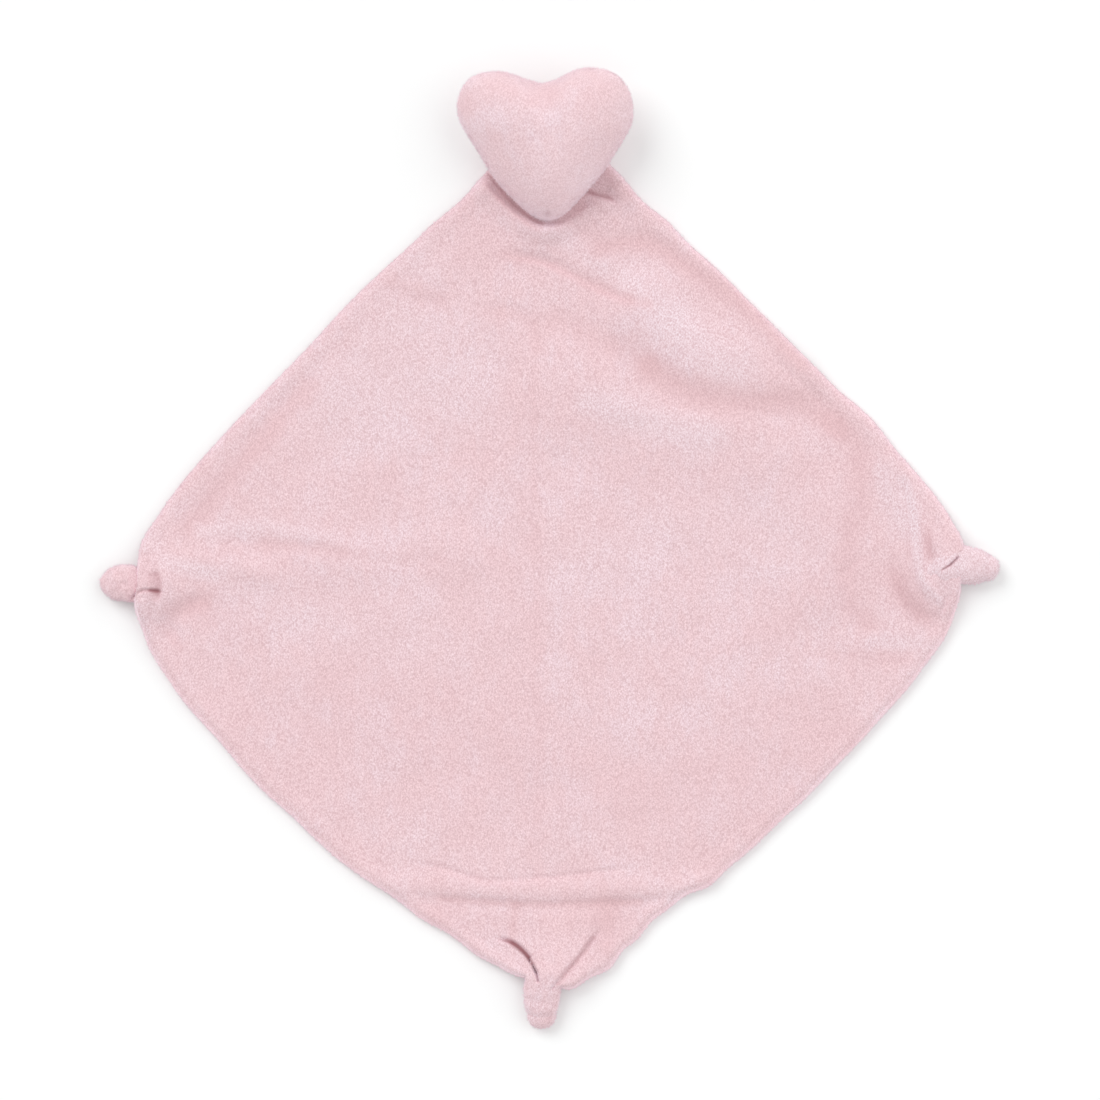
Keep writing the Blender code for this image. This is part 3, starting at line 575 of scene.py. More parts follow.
# Painted highlight (above 0) and painted shade (below 0) on the slopes and folds: amount, half width, route
paintedLightShadeMarks = [
    (0.55, 46, [(676, 324), (705, 350), (730, 370)]), (0.25, 34, [(636, 284), (676, 320)]),
    (0.3, 18, [(548, 228), (600, 262), (635, 282)]), (0.55, 30, [(592, 402), (645, 420), (712, 436)]),
    (0.35, 20, [(880, 470), (895, 500), (908, 530)]),
    (0.6, 9, [(905, 480), (915, 515), (917, 550), (923, 580), (938, 600)]),
    (0.4, 14, [(200, 530), (262, 527), (330, 538)]), (0.5, 16, [(165, 562), (190, 568), (215, 575)]),
    (0.4, 16, [(870, 641), (935, 646)]), (0.2, 60, [(250, 620), (420, 640)]),
    (-0.15, 12, [(440, 886), (520, 890), (640, 884)]), (0.2, 60, [(590, 560), (720, 520), (790, 540)]),
    (0.35, 90, [(340, 400), (440, 380)]), (0.07, 10, [(550, 300), (552, 500), (553, 700), (550, 880)]),
    (0.25, 46, [(420, 230), (400, 320)]), (0.3, 12, [(137, 600), (143, 640), (158, 668)]),
    (0.3, 12, [(140, 560), (150, 530)]),
    (-0.8, 25, [(648, 368), (690, 391), (740, 401), (800, 402), (836, 425)]),
    (-0.6, 20, [(835, 425), (858, 450), (860, 500), (846, 560), (850, 600), (868, 625)]),
    (-0.8, 18, [(600, 248), (648, 242), (698, 274), (745, 305), (800, 362)]),
    (-0.65, 10, [(506, 255), (545, 262), (582, 280), (622, 298), (648, 304)]),
    (-0.4, 24, [(556, 322), (620, 344), (650, 362)]),
    (-0.4, 12, [(480, 312), (518, 312), (534, 328), (540, 350)]),
    (-0.7, 20, [(310, 385), (245, 460), (215, 495), (188, 527)]), (-0.6, 17, [(392, 282), (440, 300)]),
    (-0.4, 11, [(225, 548), (285, 546), (345, 552)]), (-0.15, 14, [(345, 553), (450, 560)]),
    (-0.6, 16, [(172, 612), (200, 604)]), (-0.5, 12, [(165, 628), (178, 646)]),
    (-0.35, 15, [(226, 640), (235, 670)]), (-0.4, 34, [(205, 605), (250, 630)]),
    (-0.22, 100, [(300, 700), (480, 760), (700, 800), (800, 740)]), (-0.4, 14, [(840, 655), (905, 660)]),
    (-0.22, 9, [(533, 300), (534, 500), (538, 700), (536, 880)]),
    (-0.75, 20, [(898, 578), (908, 598), (926, 616)]), (-0.5, 8, [(927, 528), (929, 556)]),
    (-0.25, 22, [(430, 915), (540, 925), (640, 915)]), (-0.6, 7, [(440, 899), (536, 905), (640, 902)]),
    (-0.65, 24, [(606, 905), (604, 945)]), (-0.5, 8, [(516, 905), (514, 922), (511, 942)]),
    (-0.4, 18, [(145, 560), (150, 590)]), (-0.5, 9, [(498, 196), (516, 214), (540, 232)]),
    (-0.35, 12, [(562, 226), (582, 208)]), (-0.4, 16, [(608, 178), (630, 194)]),
]
# Painted shade where hardly any light gets, under the heart's edge and in the knots' pits and creases:
# amount, half width, route
paintedShadeMarks = [
    (0.7, 3.2, [(487.5, 173), (496, 184.5), (507, 197), (520, 209.5), (533, 219.5), (542, 223.5)]),
    (0.1, 5, [(548, 224), (560, 221), (572, 211), (584, 198)]),
    (0.35, 3.5, [(578, 190), (592, 193), (604, 196.5), (612, 199)]), (0.1, 14, [(606, 172), (612, 186)]),
    (0.6, 4.2, [(151, 590.5), (157, 590.5)]), (0.2, 9, [(151, 579), (154, 588), (154, 597)]),
    (0.3, 2.4, [(134, 597), (141, 591), (150, 590)]), (0.65, 2.0, [(943, 569), (950, 565), (956, 559.5)]),
    (0.25, 8, [(928, 538), (931, 556)]), (0.8, 3.6, [(512, 944.5), (520, 950), (530, 960), (536, 971)]),
    (0.3, 5, [(592, 938), (578, 958), (562, 977)]), (0.12, 18, [(904, 592), (916, 608)]),
]
creaseShadeDepths = {"from": 0.0012, "over": 0.0030}                       # painted shade: depths at which a fold starts to darken


def markedShare(x, y, marks):
    share = np.zeros_like(x)
    for amount, width, route in marks:
        share = share + amount * wave(alongRoute(x, y, planRoute(route))[0] / (width * halfMm))
    return np.clip(share, -1, 1)


def foldHeight(x, y):
    height = np.zeros_like(x)
    for depth, left, right, route in fineFolds:
        off, passed, side = alongRoute(x, y, planRoute(route))
        taper = ease(passed / foldEnds["over"]) * ease((1 - passed) / foldEnds["over"])
        width = np.where(side > 0, left, right) * halfMm
        kept = (foldEnds["least"] + (1 - foldEnds["least"]) * taper) * (taper > foldEnds["gone"])
        height = height + depth * mm * wave(off / width) * kept
    for depth, wide, tall, place in swellings:
        px, py = spot(*place)
        off = np.hypot((x - px) / (wide * halfMm), (y - py) / (tall * halfMm))
        height = height + depth * mm * wave(off)
    return height


def nearKnot(x, y, reach):
    # 1 at a tied corner, easing to 0 at the reach
    share = np.zeros_like(x)
    for cx, cy in tiedCorners:
        share = np.maximum(share, wave(np.hypot(x - cx, y - cy) / reach))
    return share


def liftHeight(x, y):
    # How far the cloth's underside is off the table
    height = np.zeros_like(x)
    for rise, width, route in broadFolds:
        height = height + rise * wave(alongRoute(x, y, planRoute(route))[0] / width)
    tx, ty = spot(*tuck["place"])
    part = np.clip(1 - ((x - tx) / tuck["reach"]) ** 2, 0, 1)
    roll = wave(np.abs(y - (ty + tuck["bow"][0] - tuck["bow"][1] * part)) / tuck["width"])
    past = np.maximum(np.abs(x - tx) - tuck["reach"] * tuck["endsAt"], 0)
    height = height + tuck["rise"] * roll * wave(past / (tuck["reach"] * tuck["endsOver"]))
    height = height + tipLift["rise"] * around(x, y, tipLift["place"], tipLift["reach"])
    return height + gather["rise"] * nearKnot(x, y, gather["reach"])


def crowd(count):
    t = np.linspace(-1, 1, count + 1)
    return t + cloth["edgeCrowding"] * np.sin(math.pi * t) / math.pi


def fromEdges(a, b):
    return np.minimum((1 - np.abs(a)) * cloth["width"], (1 - np.abs(b)) * cloth["length"]) / 2


def clothHeights(a, b, clear=0.0):
    # Plan, upper face, under face, and where the layers meet, clear of folds that come this near
    x, y = clothPlan(a, b)
    toEdge = fromEdges(a, b)
    soft = 1 - np.clip(toEdge / cloth["edgeRound"], 0, 1)
    rounded = np.sqrt(np.clip(1 - soft ** 2, 0, 1))
    full = cloth["layer"] * (1 + cloth["fullerBy"] * nearKnot(x, y, cloth["fullerReach"]))
    seam = liftHeight(x, y) + full
    rim = seamAllowance["rise"] * wave(np.abs(toEdge - seamAllowance["at"]) / seamAllowance["width"])
    swell = swells["rise"] * np.sin(x * swells["across"] + swells["bend"] * np.sin(y * swells["bends"]))
    swell = swell * np.sin(y * swells["up"] + swells["start"])
    fold = foldHeight(x, y)
    for k in range(cloth["clearWays"] if clear else 0):
        turn = math.tau * k / cloth["clearWays"]
        fold = np.minimum(fold, foldHeight(x + clear * math.cos(turn), y + clear * math.sin(turn)))
    top = seam + full * rounded + (fold + rim + swell) * rounded
    under = np.maximum(seam - full * rounded, 0.0)
    least = under + thinnest["both"][0] * rounded + thinnest["both"][1]
    top = softMax(top, least, thinnest["blend"] * rounded)
    split = np.minimum(seam, top - thinnest["front"][0] * rounded - thinnest["front"][1])
    split = np.maximum(split, under + thinnest["back"] * rounded)
    return x, y, top, under, split


def gridFaces(n, start=0, flip=False):
    i = np.arange(n)
    r, c = np.meshgrid(i, i, indexing="ij")
    p = start + r * (n + 1) + c
    quads = np.stack([p, p + (n + 1), p + (n + 2), p + 1], axis=-1).reshape(-1, 4)
    return quads[:, ::-1] if flip else quads


def gridRim(n, start=0):
    # Point numbers once round the grid
    m = n + 1
    sides = [[(0, c) for c in range(n)], [(r, n) for r in range(n)],
             [(n, c) for c in range(n, 0, -1)], [(r, 0) for r in range(n, 0, -1)]]
    return [start + r * m + c for side in sides for r, c in side]


def rimShares(s):
    # How far round each of those points stands, from 0 to 4; the last two sides run backwards
    side = (s + 1) / 2
    n = len(side) - 1
    ahead = [k + side[i] for k in (0, 1) for i in range(n)]
    back = [k + 1 - side[n - i] for k in (2, 3) for i in range(n)]
    return np.array(ahead + back + [4.0])


def bridgeRims(outer, inner, outerAt, innerAt):
    # Joins two rims of different counts, always stepping on the one that lags
    faces, i, j = [], 0, 0
    n, m = len(outer), len(inner)
    while i < n or j < m:
        o0, o1 = outer[i % n], outer[(i + 1) % n]
        k0, k1 = inner[j % m], inner[(j + 1) % m]
        nextO = outerAt[i + 1] if i < n else np.inf
        nextI = innerAt[j + 1] if j < m else np.inf
        if nextO <= nextI:
            faces.append((o0, o1, k0))
            i += 1
        else:
            faces.append((o0, k1, k0))
            j += 1
    return faces


def edgeLit(a, b):
    ways = {"upperLeft": (1 + a) * cloth["width"], "lowerRight": (1 - a) * cloth["width"],
            "lowerLeft": (1 + b) * cloth["length"], "upperRight": (1 - b) * cloth["length"]}
    return np.maximum.reduce([edgeLight[k] * wave(way / 2 / edgeLight["reach"]) for k, way in ways.items()])


def makeLayer(name, front, cells):
    inside = cloth["insideCells"]
    s, sIn = crowd(cells), crowd(inside)
    a, b = np.meshgrid(s, s, indexing="ij")
    x, y, top, under, split = clothHeights(a, b)
    outerZ = top if front else under
    gap = cloth["gap"] / 2 * (1 if front else -1)
    toEdge = fromEdges(a, b)
    rim = wave(toEdge / cloth["rimReach"])
    if front:
        lumps = lumpy(x, y, 0 * x, cloth["lumpSize"]) * cloth["lumpRise"]
        outerZ = outerZ + lumps * ease(toEdge / cloth["lumpEdge"])
    frayX, frayY = (lumpy(x, y, 0 * x + level, cloth["raggedSize"]) * (rim * cloth["raggedRim"])
                    for level in cloth["raggedLevels"])
    x, y = x + frayX, y + frayY
    outerZ = np.where(toEdge < 1e-9, split + gap, outerZ)
    outer = np.stack([x, y, outerZ], axis=-1).reshape(-1, 3)
    # the inner face stops a touch inside the edge
    ai, bi = np.meshgrid(sIn * cloth["insideShare"], sIn * cloth["insideShare"], indexing="ij")
    xi, yi, *_, splitI = clothHeights(ai, bi, cloth["foldClear"])
    inner = np.stack([xi, yi, splitI + gap], axis=-1).reshape(-1, 3)
    start = len(outer)
    faces = list(gridFaces(cells)) + list(gridFaces(inside, start, flip=True))
    faces += bridgeRims(gridRim(cells), gridRim(inside, start), rimShares(s), rimShares(sIn))
    obj = newPiece(name, np.vstack([outer, inner]), faces, blanketPlush)
    faceOutwards(obj)
    paintEdgeOn(obj)
    # painted glow along the edges; on the front also painted shade in creases and under the heart, and
    # painted highlight and shade
    marks = {"rim": rim, "backLit": edgeLit(a, b)}
    if front:
        creaseShade = np.clip((-foldHeight(x, y) - creaseShadeDepths["from"]) / creaseShadeDepths["over"], 0, 1)
        marks["paintedShade"] = np.clip(creaseShade + markedShare(x, y, paintedShadeMarks), 0, 1)
        marks["paintedLightShade"] = markedShare(x, y, paintedLightShadeMarks)
    for label, values in marks.items():
        paintVerts(obj, label, np.concatenate([values.reshape(-1), np.zeros(len(inner))]))
    return obj


frontCloth = makeLayer("frontCloth", True, cloth["cells"])
backCloth = makeLayer("backCloth", False, cloth["backCells"])
print("cloth laid", len(frontCloth.data.polygons), len(backCloth.data.polygons))


def edgeCells(idx, others):
    # The four cells round each crossed grid edge
    for du, dv in np.ndindex(2, 2):
        c = idx.copy()
        c[:, others[0]] -= du
        c[:, others[1]] -= dv
        yield tuple(c.T)


def skinOf(field, low, cell):
    # Surface net round the places where the field is below zero
    inside = field < 0
    shape = np.array(field.shape) - 1
    total = np.zeros((*shape, 3))
    count = np.zeros(shape)
    crossings = []
    for axis in range(3):
        a, b = [slice(None)] * 3, [slice(None)] * 3
        a[axis], b[axis] = slice(0, -1), slice(1, None)
        a, b = tuple(a), tuple(b)
        cut = inside[a] != inside[b]
        idx = np.argwhere(cut)
        before, after = field[a][cut], field[b][cut]
        pos = idx.astype(float)
        pos[:, axis] += before / (before - after)
        others = [k for k in range(3) if k != axis]
        for place in edgeCells(idx, others):
            np.add.at(total, place, pos)
            np.add.at(count, place, 1)
        crossings.append((idx, others, inside[a][cut]))
    filled = count > 0
    number = np.full(shape, -1)
    number[filled] = np.arange(filled.sum())
    points = total[filled] / count[filled][:, None] * cell + low
    faces = []
    for axis, (idx, others, startsInside) in enumerate(crossings):
        quads = np.stack([number[place] for place in edgeCells(idx, others)], axis=1)[:, (0, 2, 3, 1)]
        flip = startsInside if axis != 1 else ~startsInside
        quads[~flip] = quads[~flip][:, ::-1]
        faces.append(quads)
    return points, np.vstack(faces)


def strandField(x, y, z, strand):
    # A soft strand through (u, v, height, half width, half height), all but u and v in mm
    best = np.full(x.shape, np.inf)
    nodes = [(*spot(u, v), h * mm, w * mm, t * mm) for u, v, h, w, t in strand]
    if len(nodes) == 1:
        nodes = nodes * 2
    for p, q in zip(nodes[:-1], nodes[1:]):
        dx, dy = q[0] - p[0], q[1] - p[1]
        t = np.clip(((x - p[0]) * dx + (y - p[1]) * dy) / max(dx * dx + dy * dy, 1e-12), 0, 1)
        flat = np.hypot(x - p[0] - t * dx, y - p[1] - t * dy)
        h, w, thick = (p[k] + (q[k] - p[k]) * t for k in (2, 3, 4))
        reach = np.sqrt((flat / w) ** 2 + ((z - h) / thick) ** 2)
        best = np.minimum(best, (reach - 1) * np.minimum(w, thick))
    return best


def meld(a, b, k):
    h = np.clip(0.5 + 0.5 * (b - a) / k, 0, 1)
    return b + (a - b) * h - k * h * (1 - h)


knotForm = {
    "cell": 0.00045,                  # size of the cells that the knots are skinned in
    "margin": 0.004, "below": -0.003, "above": 0.020,
    "lumpSize": 0.0022, "lumpRise": 0.0002,
    "restsAt": 0.0004, "restsBlend": 0.0008,
    "weld": 0.00001, "smoothings": 2,
}
# Each knot: its painted light and shade (lighter above 0, darker below 0), its strand, and the slots between
# its turns, each a blend in m and a strand that is cut away
knots = {
    "leftKnot": {
        "node": "left_knot", "paintedLightShade": -0.3,
        "strand": [(150, 586, 5.4, 5.0, 2.6), (137, 584.5, 6.2, 8.6, 4.4), (129, 583.5, 6.3, 9.3, 5.2),
                   (120, 583, 5.8, 8.9, 5.0), (112, 583, 5.4, 6.2, 3.6)],
        "slots": [(0.0008, [(124, 607, 11.0, 0.6, 2.0), (131, 599, 11.5, 0.8, 3.0),
                            (138, 592, 12.0, 0.9, 4.0)]),
                  (0.0016, [(122, 585, 12.0, 1.8, 1.2)]),
                  (0.0016, [(133, 566, 12.0, 1.2, 1.2), (132, 583, 12.4, 1.2, 1.2)])],
    },
    "rightKnot": {
        "node": "right_knot", "paintedLightShade": 0.55,
        "strand": [(935, 571, 5.6, 7.0, 4.2), (950, 567, 8.0, 9.0, 4.7), (962, 564.5, 8.3, 9.7, 5.1),
                   (974, 566, 7.4, 8.9, 5.2), (986.5, 567.8, 6.2, 6.6, 4.4)],
        "slots": [(0.0008, [(943, 570, 13.6, 0.5, 2.2), (950, 565, 13.8, 0.7, 2.7),
                            (958, 557, 13.6, 0.5, 2.0)]),
                  (0.0016, [(967, 550, 13.8, 1.2, 1.3), (969, 564, 13.8, 1.2, 1.0)])],
    },
    "bottomKnot": {
        "node": "bottom_knot", "paintedLightShade": 0.0,
        "strand": [(548, 955, 4.2, 7.6, 3.4), (548, 965, 7.2, 9.4, 4.3), (544.5, 978, 8.8, 9.9, 4.9),
                   (542, 990, 7.8, 9.3, 5.2), (541.5, 1003, 6.6, 8.7, 5.2), (541.5, 1015, 5.5, 7.2, 4.1)],
        "slots": [(0.0008, [(524, 955, 12.0, 0.7, 5.0), (532, 964, 13.0, 0.9, 5.0),
                            (536.5, 973, 13.6, 0.9, 4.2), (538.5, 982, 14.0, 0.5, 2.0)]),
                  (0.0010, [(570, 968, 13.0, 0.8, 3.0), (560, 979, 13.4, 0.8, 3.0),
                            (553, 988, 13.4, 0.5, 2.0)]),
                  (0.0016, [(537, 1003, 13.0, 1.6, 1.3), (536, 1010, 12.6, 1.6, 1.3)])],
    },
}


def tieKnot(name, spec):
    form, strand = knotForm, spec["strand"]
    wide = max(p[3] for p in strand) * mm + form["margin"]
    xs, ys = zip(*(spot(p[0], p[1]) for p in strand))
    low = np.array([min(xs) - wide, min(ys) - wide, form["below"]])
    high = np.array([max(xs) + wide, max(ys) + wide, form["above"]])
    steps = np.ceil((high - low) / form["cell"]).astype(int)
    axes = [low[k] + np.arange(steps[k] + 1) * form["cell"] for k in range(3)]
    x, y, z = np.meshgrid(*axes, indexing="ij")
    field = strandField(x, y, z, strand)
    for blend, slot in spec["slots"]:
        field = -meld(-field, strandField(x, y, z, slot), blend)
    field = field + lumpy(x, y, z, form["lumpSize"]) * form["lumpRise"]
    field = -meld(-field, z - form["restsAt"], form["restsBlend"])
    points, faces = skinOf(field, low, form["cell"])
    obj = newPiece(name, points, faces, knotPlush)
    faceOutwards(obj, form["weld"], form["smoothings"])
    obj.data.shade_smooth()
    x, y = pointsOf(obj)[:, :2].T
    # painted shade in the knot's pit and crease, and one value of painted light and shade for the whole knot
    paintVerts(obj, "paintedShade", np.clip(markedShare(x, y, paintedShadeMarks), 0, 1))
    paintVerts(obj, "paintedLightShade", np.full(len(x), spec["paintedLightShade"]))
    paintEdgeOn(obj)
    return obj


knotPieces = {name: tieKnot(name, spec) for name, spec in knots.items()}
print("knots tied", {n: len(o.data.polygons) for n, o in knotPieces.items()})


heart = {
    "rim": [
        (543, 84), (527, 80.5), (514, 75.5), (500, 72.3), (486, 73), (472, 77.5), (463, 87), (458, 99),
        (457, 111), (460, 123), (466, 134), (474, 147), (482, 160), (489, 172), (497, 183), (508, 195),
        (521, 207.5), (534, 217.5), (546, 221.5), (558, 219.5), (569, 211.5), (580, 200), (592, 186.5),
        (603, 173.5), (612, 160), (620, 147), (628, 134), (632.5, 122), (633.2, 109), (631, 96), (625, 84),
        (615, 74.5), (602, 69.5), (588, 68.6), (574, 71.5), (558, 79.5),
    ],
    "rimSteps": 12, "rimCount": 120, "rings": 16,
    "middle": (546, 130),
    "rest": 0.0056,                   # height of its lowest point, on the cloth
    "rises": (0.0190, 0.0120),        # of the front and the back above the rim
    "crown": (2.1, 0.6),              # powers: how flat the middle is, how steep the sides
    "tilt": math.radians(8),
    "droop": 0.0040, "droopFrom": 0.045, "droopMost": 1.2,      # how the tip sinks towards the cloth
    # painted shade (below 0) and painted highlight (above 0) on the heart: amount, reach, place
    "marks": [(-0.7, 28, (462, 104)), (-0.4, 46, (508, 74)), (-0.4, 46, (582, 72)), (-0.8, 28, (547, 94)),
              (0.1, 30, (622, 112)), (0.1, 55, (548, 172)), (0.1, 30, (524, 198)), (0.25, 30, (588, 184))],
    "lit": [(0.42, 80, (568, 180))],  # painted glow, as if light came through the pile: amount, reach, place
}


def heartOutline():
    ring = [np.array(p, float) for p in heart["rim"]]
    count = len(ring)
    fine = [p for i in range(count)
            for p in catmullRom(*(ring[(i + k) % count] for k in (-1, 0, 1, 2)), heart["rimSteps"])]
    fine = np.array([spot(*p) for p in fine])
    steps = np.linalg.norm(np.roll(fine, -1, 0) - fine, axis=1)
    passed = np.concatenate([[0], np.cumsum(steps)])
    wanted = np.linspace(0, passed[-1], heart["rimCount"], endpoint=False)
    closed = np.vstack([fine, fine[:1]])
    return np.stack([np.interp(wanted, passed, closed[:, k]) for k in (0, 1)], axis=1)


def heartShape(rises, shrink=0.0):
    # Two faces from the rim to the middle, meeting at the rim, flat round the middle
    flat = heartOutline() - np.array(spot(*heart["middle"]))
    flat = flat * (1 - shrink / np.linalg.norm(flat, axis=1)[:, None])
    n, rings = len(flat), heart["rings"]
    shares = np.sin(np.linspace(1, 0, rings, endpoint=False) * math.pi / 2)
    flatness, steepness = heart["crown"]
    faces, points = [], []
    for way, rise in zip((1, -1), rises):
        for share in shares[0 if way > 0 else 1:]:
            z = way * rise * (1 - share ** flatness) ** steepness
            points.append(np.column_stack([flat * share, np.full(n, z)]))
        points.append(np.array([[0, 0, way * rise]]))
    topMid = rings * n
    lowStart = topMid + 1
    lowMid = lowStart + (rings - 1) * n
    for i in range(n):
        j = (i + 1) % n
        for r in range(rings - 1):
            faces.append((r * n + i, (r + 1) * n + i, (r + 1) * n + j, r * n + j))
            above = lowStart + (r - 1) * n if r else 0
            below = lowStart + r * n
            faces.append((above + i, above + j, below + j, below + i))
        faces.append(((rings - 1) * n + i, topMid, (rings - 1) * n + j))
        faces.append((lowStart + (rings - 2) * n + i, lowStart + (rings - 2) * n + j, lowMid))
    return np.vstack(points), faces


def seatHeart(points, base=None):
    # Leans the flat heart, lets its tip droop and puts it down on the cloth
    lean = np.array(Matrix.Rotation(heart["tilt"], 3, "X"))
    points = points @ lean.T
    points[:, 2] -= heart["droop"] * np.clip(-points[:, 1] / heart["droopFrom"], 0, heart["droopMost"]) ** 2
    base = heart["rest"] - points[:, 2].min() if base is None else base
    return points + np.array([*spot(*heart["middle"]), base]), base


puff = {"pressure": 30, "most": 0.0022, "frames": 15, "quality": 8,
        "mass": 0.05, "stretch": 5, "shear": 2, "bend": 0.1}


def puffHeart(obj):
    # Short pressure run with the rim held, so that the faces fill out as stuffing fills them
    start = pointsOf(obj)
    group = obj.vertex_groups.new(name="rim")
    group.add(list(range(heart["rimCount"])), 1.0, "REPLACE")
    sim = obj.modifiers.new("Cloth", "CLOTH")
    s = sim.settings
    s.quality = puff["quality"]
    s.mass = puff["mass"]
    s.tension_stiffness = s.compression_stiffness = puff["stretch"]
    s.shear_stiffness = puff["shear"]
    s.bending_stiffness = puff["bend"]
    s.use_pressure = True
    s.uniform_pressure_force = puff["pressure"]
    s.effector_weights.gravity = 0
    s.vertex_group_mass = "rim"
    sim.collision_settings.use_collision = False
    for f in range(1, puff["frames"] + 1):
        scene.frame_set(f)
    graph = bpy.context.evaluated_depsgraph_get()
    shift = pointsOf(obj.evaluated_get(graph)) - start
    obj.modifiers.clear()
    scene.frame_set(1)
    far = np.linalg.norm(shift, axis=1)
    shift *= np.minimum(1, puff["most"] / np.maximum(far, 1e-9))[:, None]
    movePoints(obj, start + shift)
    print("heart filled out, moved up to mm", round(float(far.max()) / mm, 2))


heartPiece = newPiece("heartPlush", *heartShape(heart["rises"]), heartPlush)
faceOutwards(heartPiece)
puffHeart(heartPiece)

heartSeam = {
    "reach": 0.0060, "groove": 0.0005, "grooveHalf": 0.0009,
    "pucker": 0.00008, "puckers": 46, "puckerDrift": (2.2, 7), "puckerAt": 0.0022, "puckerHalf": 0.0018,
}
# dark: the share of painted shade in the dimple
heartDimple = {"place": (547, 213), "reach": 0.0028, "depth": 0.0007, "dark": 0.3}      # just above the tip
heartLumps = {"size": 0.0024, "rise": 0.00008, "shift": 0.05}


def finishHeart(obj):
    sub = obj.modifiers.new("smooth", "SUBSURF")
    sub.levels = sub.render_levels = 2
    applyAll(obj)
    flat = pointsOf(obj)
    middle = np.array(spot(*heart["middle"]))
    # the seam: a narrow groove at the rim, drawn into small puckers
    bearing = np.arctan2(flat[:, 1], flat[:, 0])
    groove = np.exp(-(flat[:, 2] / heartSeam["grooveHalf"]) ** 2)
    ring = heartOutline() - middle
    closest = np.min(np.linalg.norm(flat[:, None, :2] - ring[None], axis=2), axis=1)
    nearRim = wave(closest / heartSeam["reach"])
    out = flat[:, :2] / np.maximum(np.linalg.norm(flat[:, :2], axis=1), 1e-9)[:, None]
    flat[:, :2] -= out * (groove * heartSeam["groove"] * nearRim)[:, None]
    drift, drifts = heartSeam["puckerDrift"]
    beside = (np.abs(flat[:, 2]) - heartSeam["puckerAt"]) / heartSeam["puckerHalf"]
    pucker = np.sin(bearing * heartSeam["puckers"] + drift * np.sin(bearing * drifts))
    pucker = pucker * np.exp(-beside ** 2) * nearRim
    flat[:, :2] += out * (pucker * heartSeam["pucker"])[:, None]
    dip = around(*(flat[:, :2] + middle).T, heartDimple["place"], heartDimple["reach"]) * (flat[:, 2] > 0)
    flat[:, 2] -= dip * heartDimple["depth"]
    lumps = lumpy(*(flat + heartLumps["shift"]).T, heartLumps["size"]) * heartLumps["rise"]
    flat += normalsOf(obj) * lumps[:, None]
    points, base = seatHeart(flat)
    movePoints(obj, points)
    obj.data.update()
    # painted shade in the dimple, painted highlight and shade from the marks, painted glow from lit
    paintVerts(obj, "paintedShade", np.clip(dip * heartDimple["dark"], 0, 1))
    for attribute, marks in (("paintedLightShade", heart["marks"]), ("backLit", heart["lit"])):
        share = 0
        for amount, reach, place in marks:
            share = share + amount * around(*points[:, :2].T, place, reach * halfMm)
        paintVerts(obj, attribute, np.clip(share, -1, 1))
    paintEdgeOn(obj)
    print("heart from mm", *(round(float(z) / mm, 2) for z in (points[:, 2].min(), points[:, 2].max())))
    return base


heartBase = finishHeart(heartPiece)

fibre = {"shrink": 0.0036, "rises": (0.0157, 0.0088), "lumpSize": 0.009, "lumpDepth": 0.0016}


def stuffHeart():
    points, faces = heartShape(fibre["rises"], fibre["shrink"])
    obj = newPiece("heartFibre", seatHeart(points, heartBase)[0], faces, paleFibre)
    lumps = bpy.data.textures.new("fibreLumps", "CLOUDS")
    lumps.noise_scale = fibre["lumpSize"]
    push = obj.modifiers.new("lumps", "DISPLACE")
    push.texture = lumps
    push.strength = fibre["lumpDepth"]
    push.mid_level = 1.0
    applyAll(obj)
    return obj


heartFibre = stuffHeart()

stitch = {"count": 9, "steps": 8, "reach": 0.42, "radius": 0.00025, "twist": 0.35}
seam = {"inset": 0.0058, "radius": 0.00035, "clearOfKnot": 0.020, "steps": 140, "twist": 0.5}
plied = {"sides": 10, "plies": 3, "groove": 0.10}


def layCord(name, route, radius, twist):
    # A plied thread along the route, closed at both ends
    sides = plied["sides"]
    points, faces = [], []
    for i, c in enumerate(route):
        ahead = Vector(route[min(i + 1, len(route) - 1)]) - Vector(route[max(i - 1, 0)])
        ahead.normalize()
        side = ahead.cross(Vector((0, 0, 1))).normalized()
        up = side.cross(ahead)
        for k in range(sides):
            turn = math.tau * k / sides + i * twist
            r = radius * (1 + plied["groove"] * math.cos(plied["plies"] * (turn - i * twist)))
            points.append(Vector(c) + side * (r * math.cos(turn)) + up * (r * math.sin(turn)))
    last = (len(route) - 1) * sides
    for first in range(0, last, sides):
        for k in range(sides):
            n = (k + 1) % sides
            faces.append((first + k, first + n, first + sides + n, first + sides + k))
    faces += [tuple(range(sides - 1, -1, -1)), tuple(range(last, last + sides))]
    return newPiece(name, points, faces, pinkThread)


def sewCorner():
    # One thread to and fro through the corner under the heart
    low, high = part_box("heart_stitches")
    y, z = ((low[k] + high[k]) / 2 for k in (1, 2))
    turns = stitch["count"] - 1
    steps = turns * stitch["steps"]
    route = [(low[0] + (high[0] - low[0]) * (i / steps),
              y + (high[1] - low[1]) * stitch["reach"] * math.cos(math.pi * (i / steps) * turns), z)
             for i in range(steps + 1)]
    return layCord("cornerStitches", route, stitch["radius"], stitch["twist"])


def sewRim(name, *ways):
    # Seam thread between the layers, just inside the turned edge and clear of the knots
    a, b = (np.concatenate([w[k] for w in ways]) for k in (0, 1))
    x, y, *_, split = clothHeights(a, b, cloth["foldClear"])
    clear = np.ones(len(x), bool)
    for cx, cy in tiedCorners:
        clear &= np.hypot(x - cx, y - cy) > seam["clearOfKnot"]
    route = list(zip(x[clear], y[clear], split[clear]))
    return layCord(name, route, seam["radius"], seam["twist"])


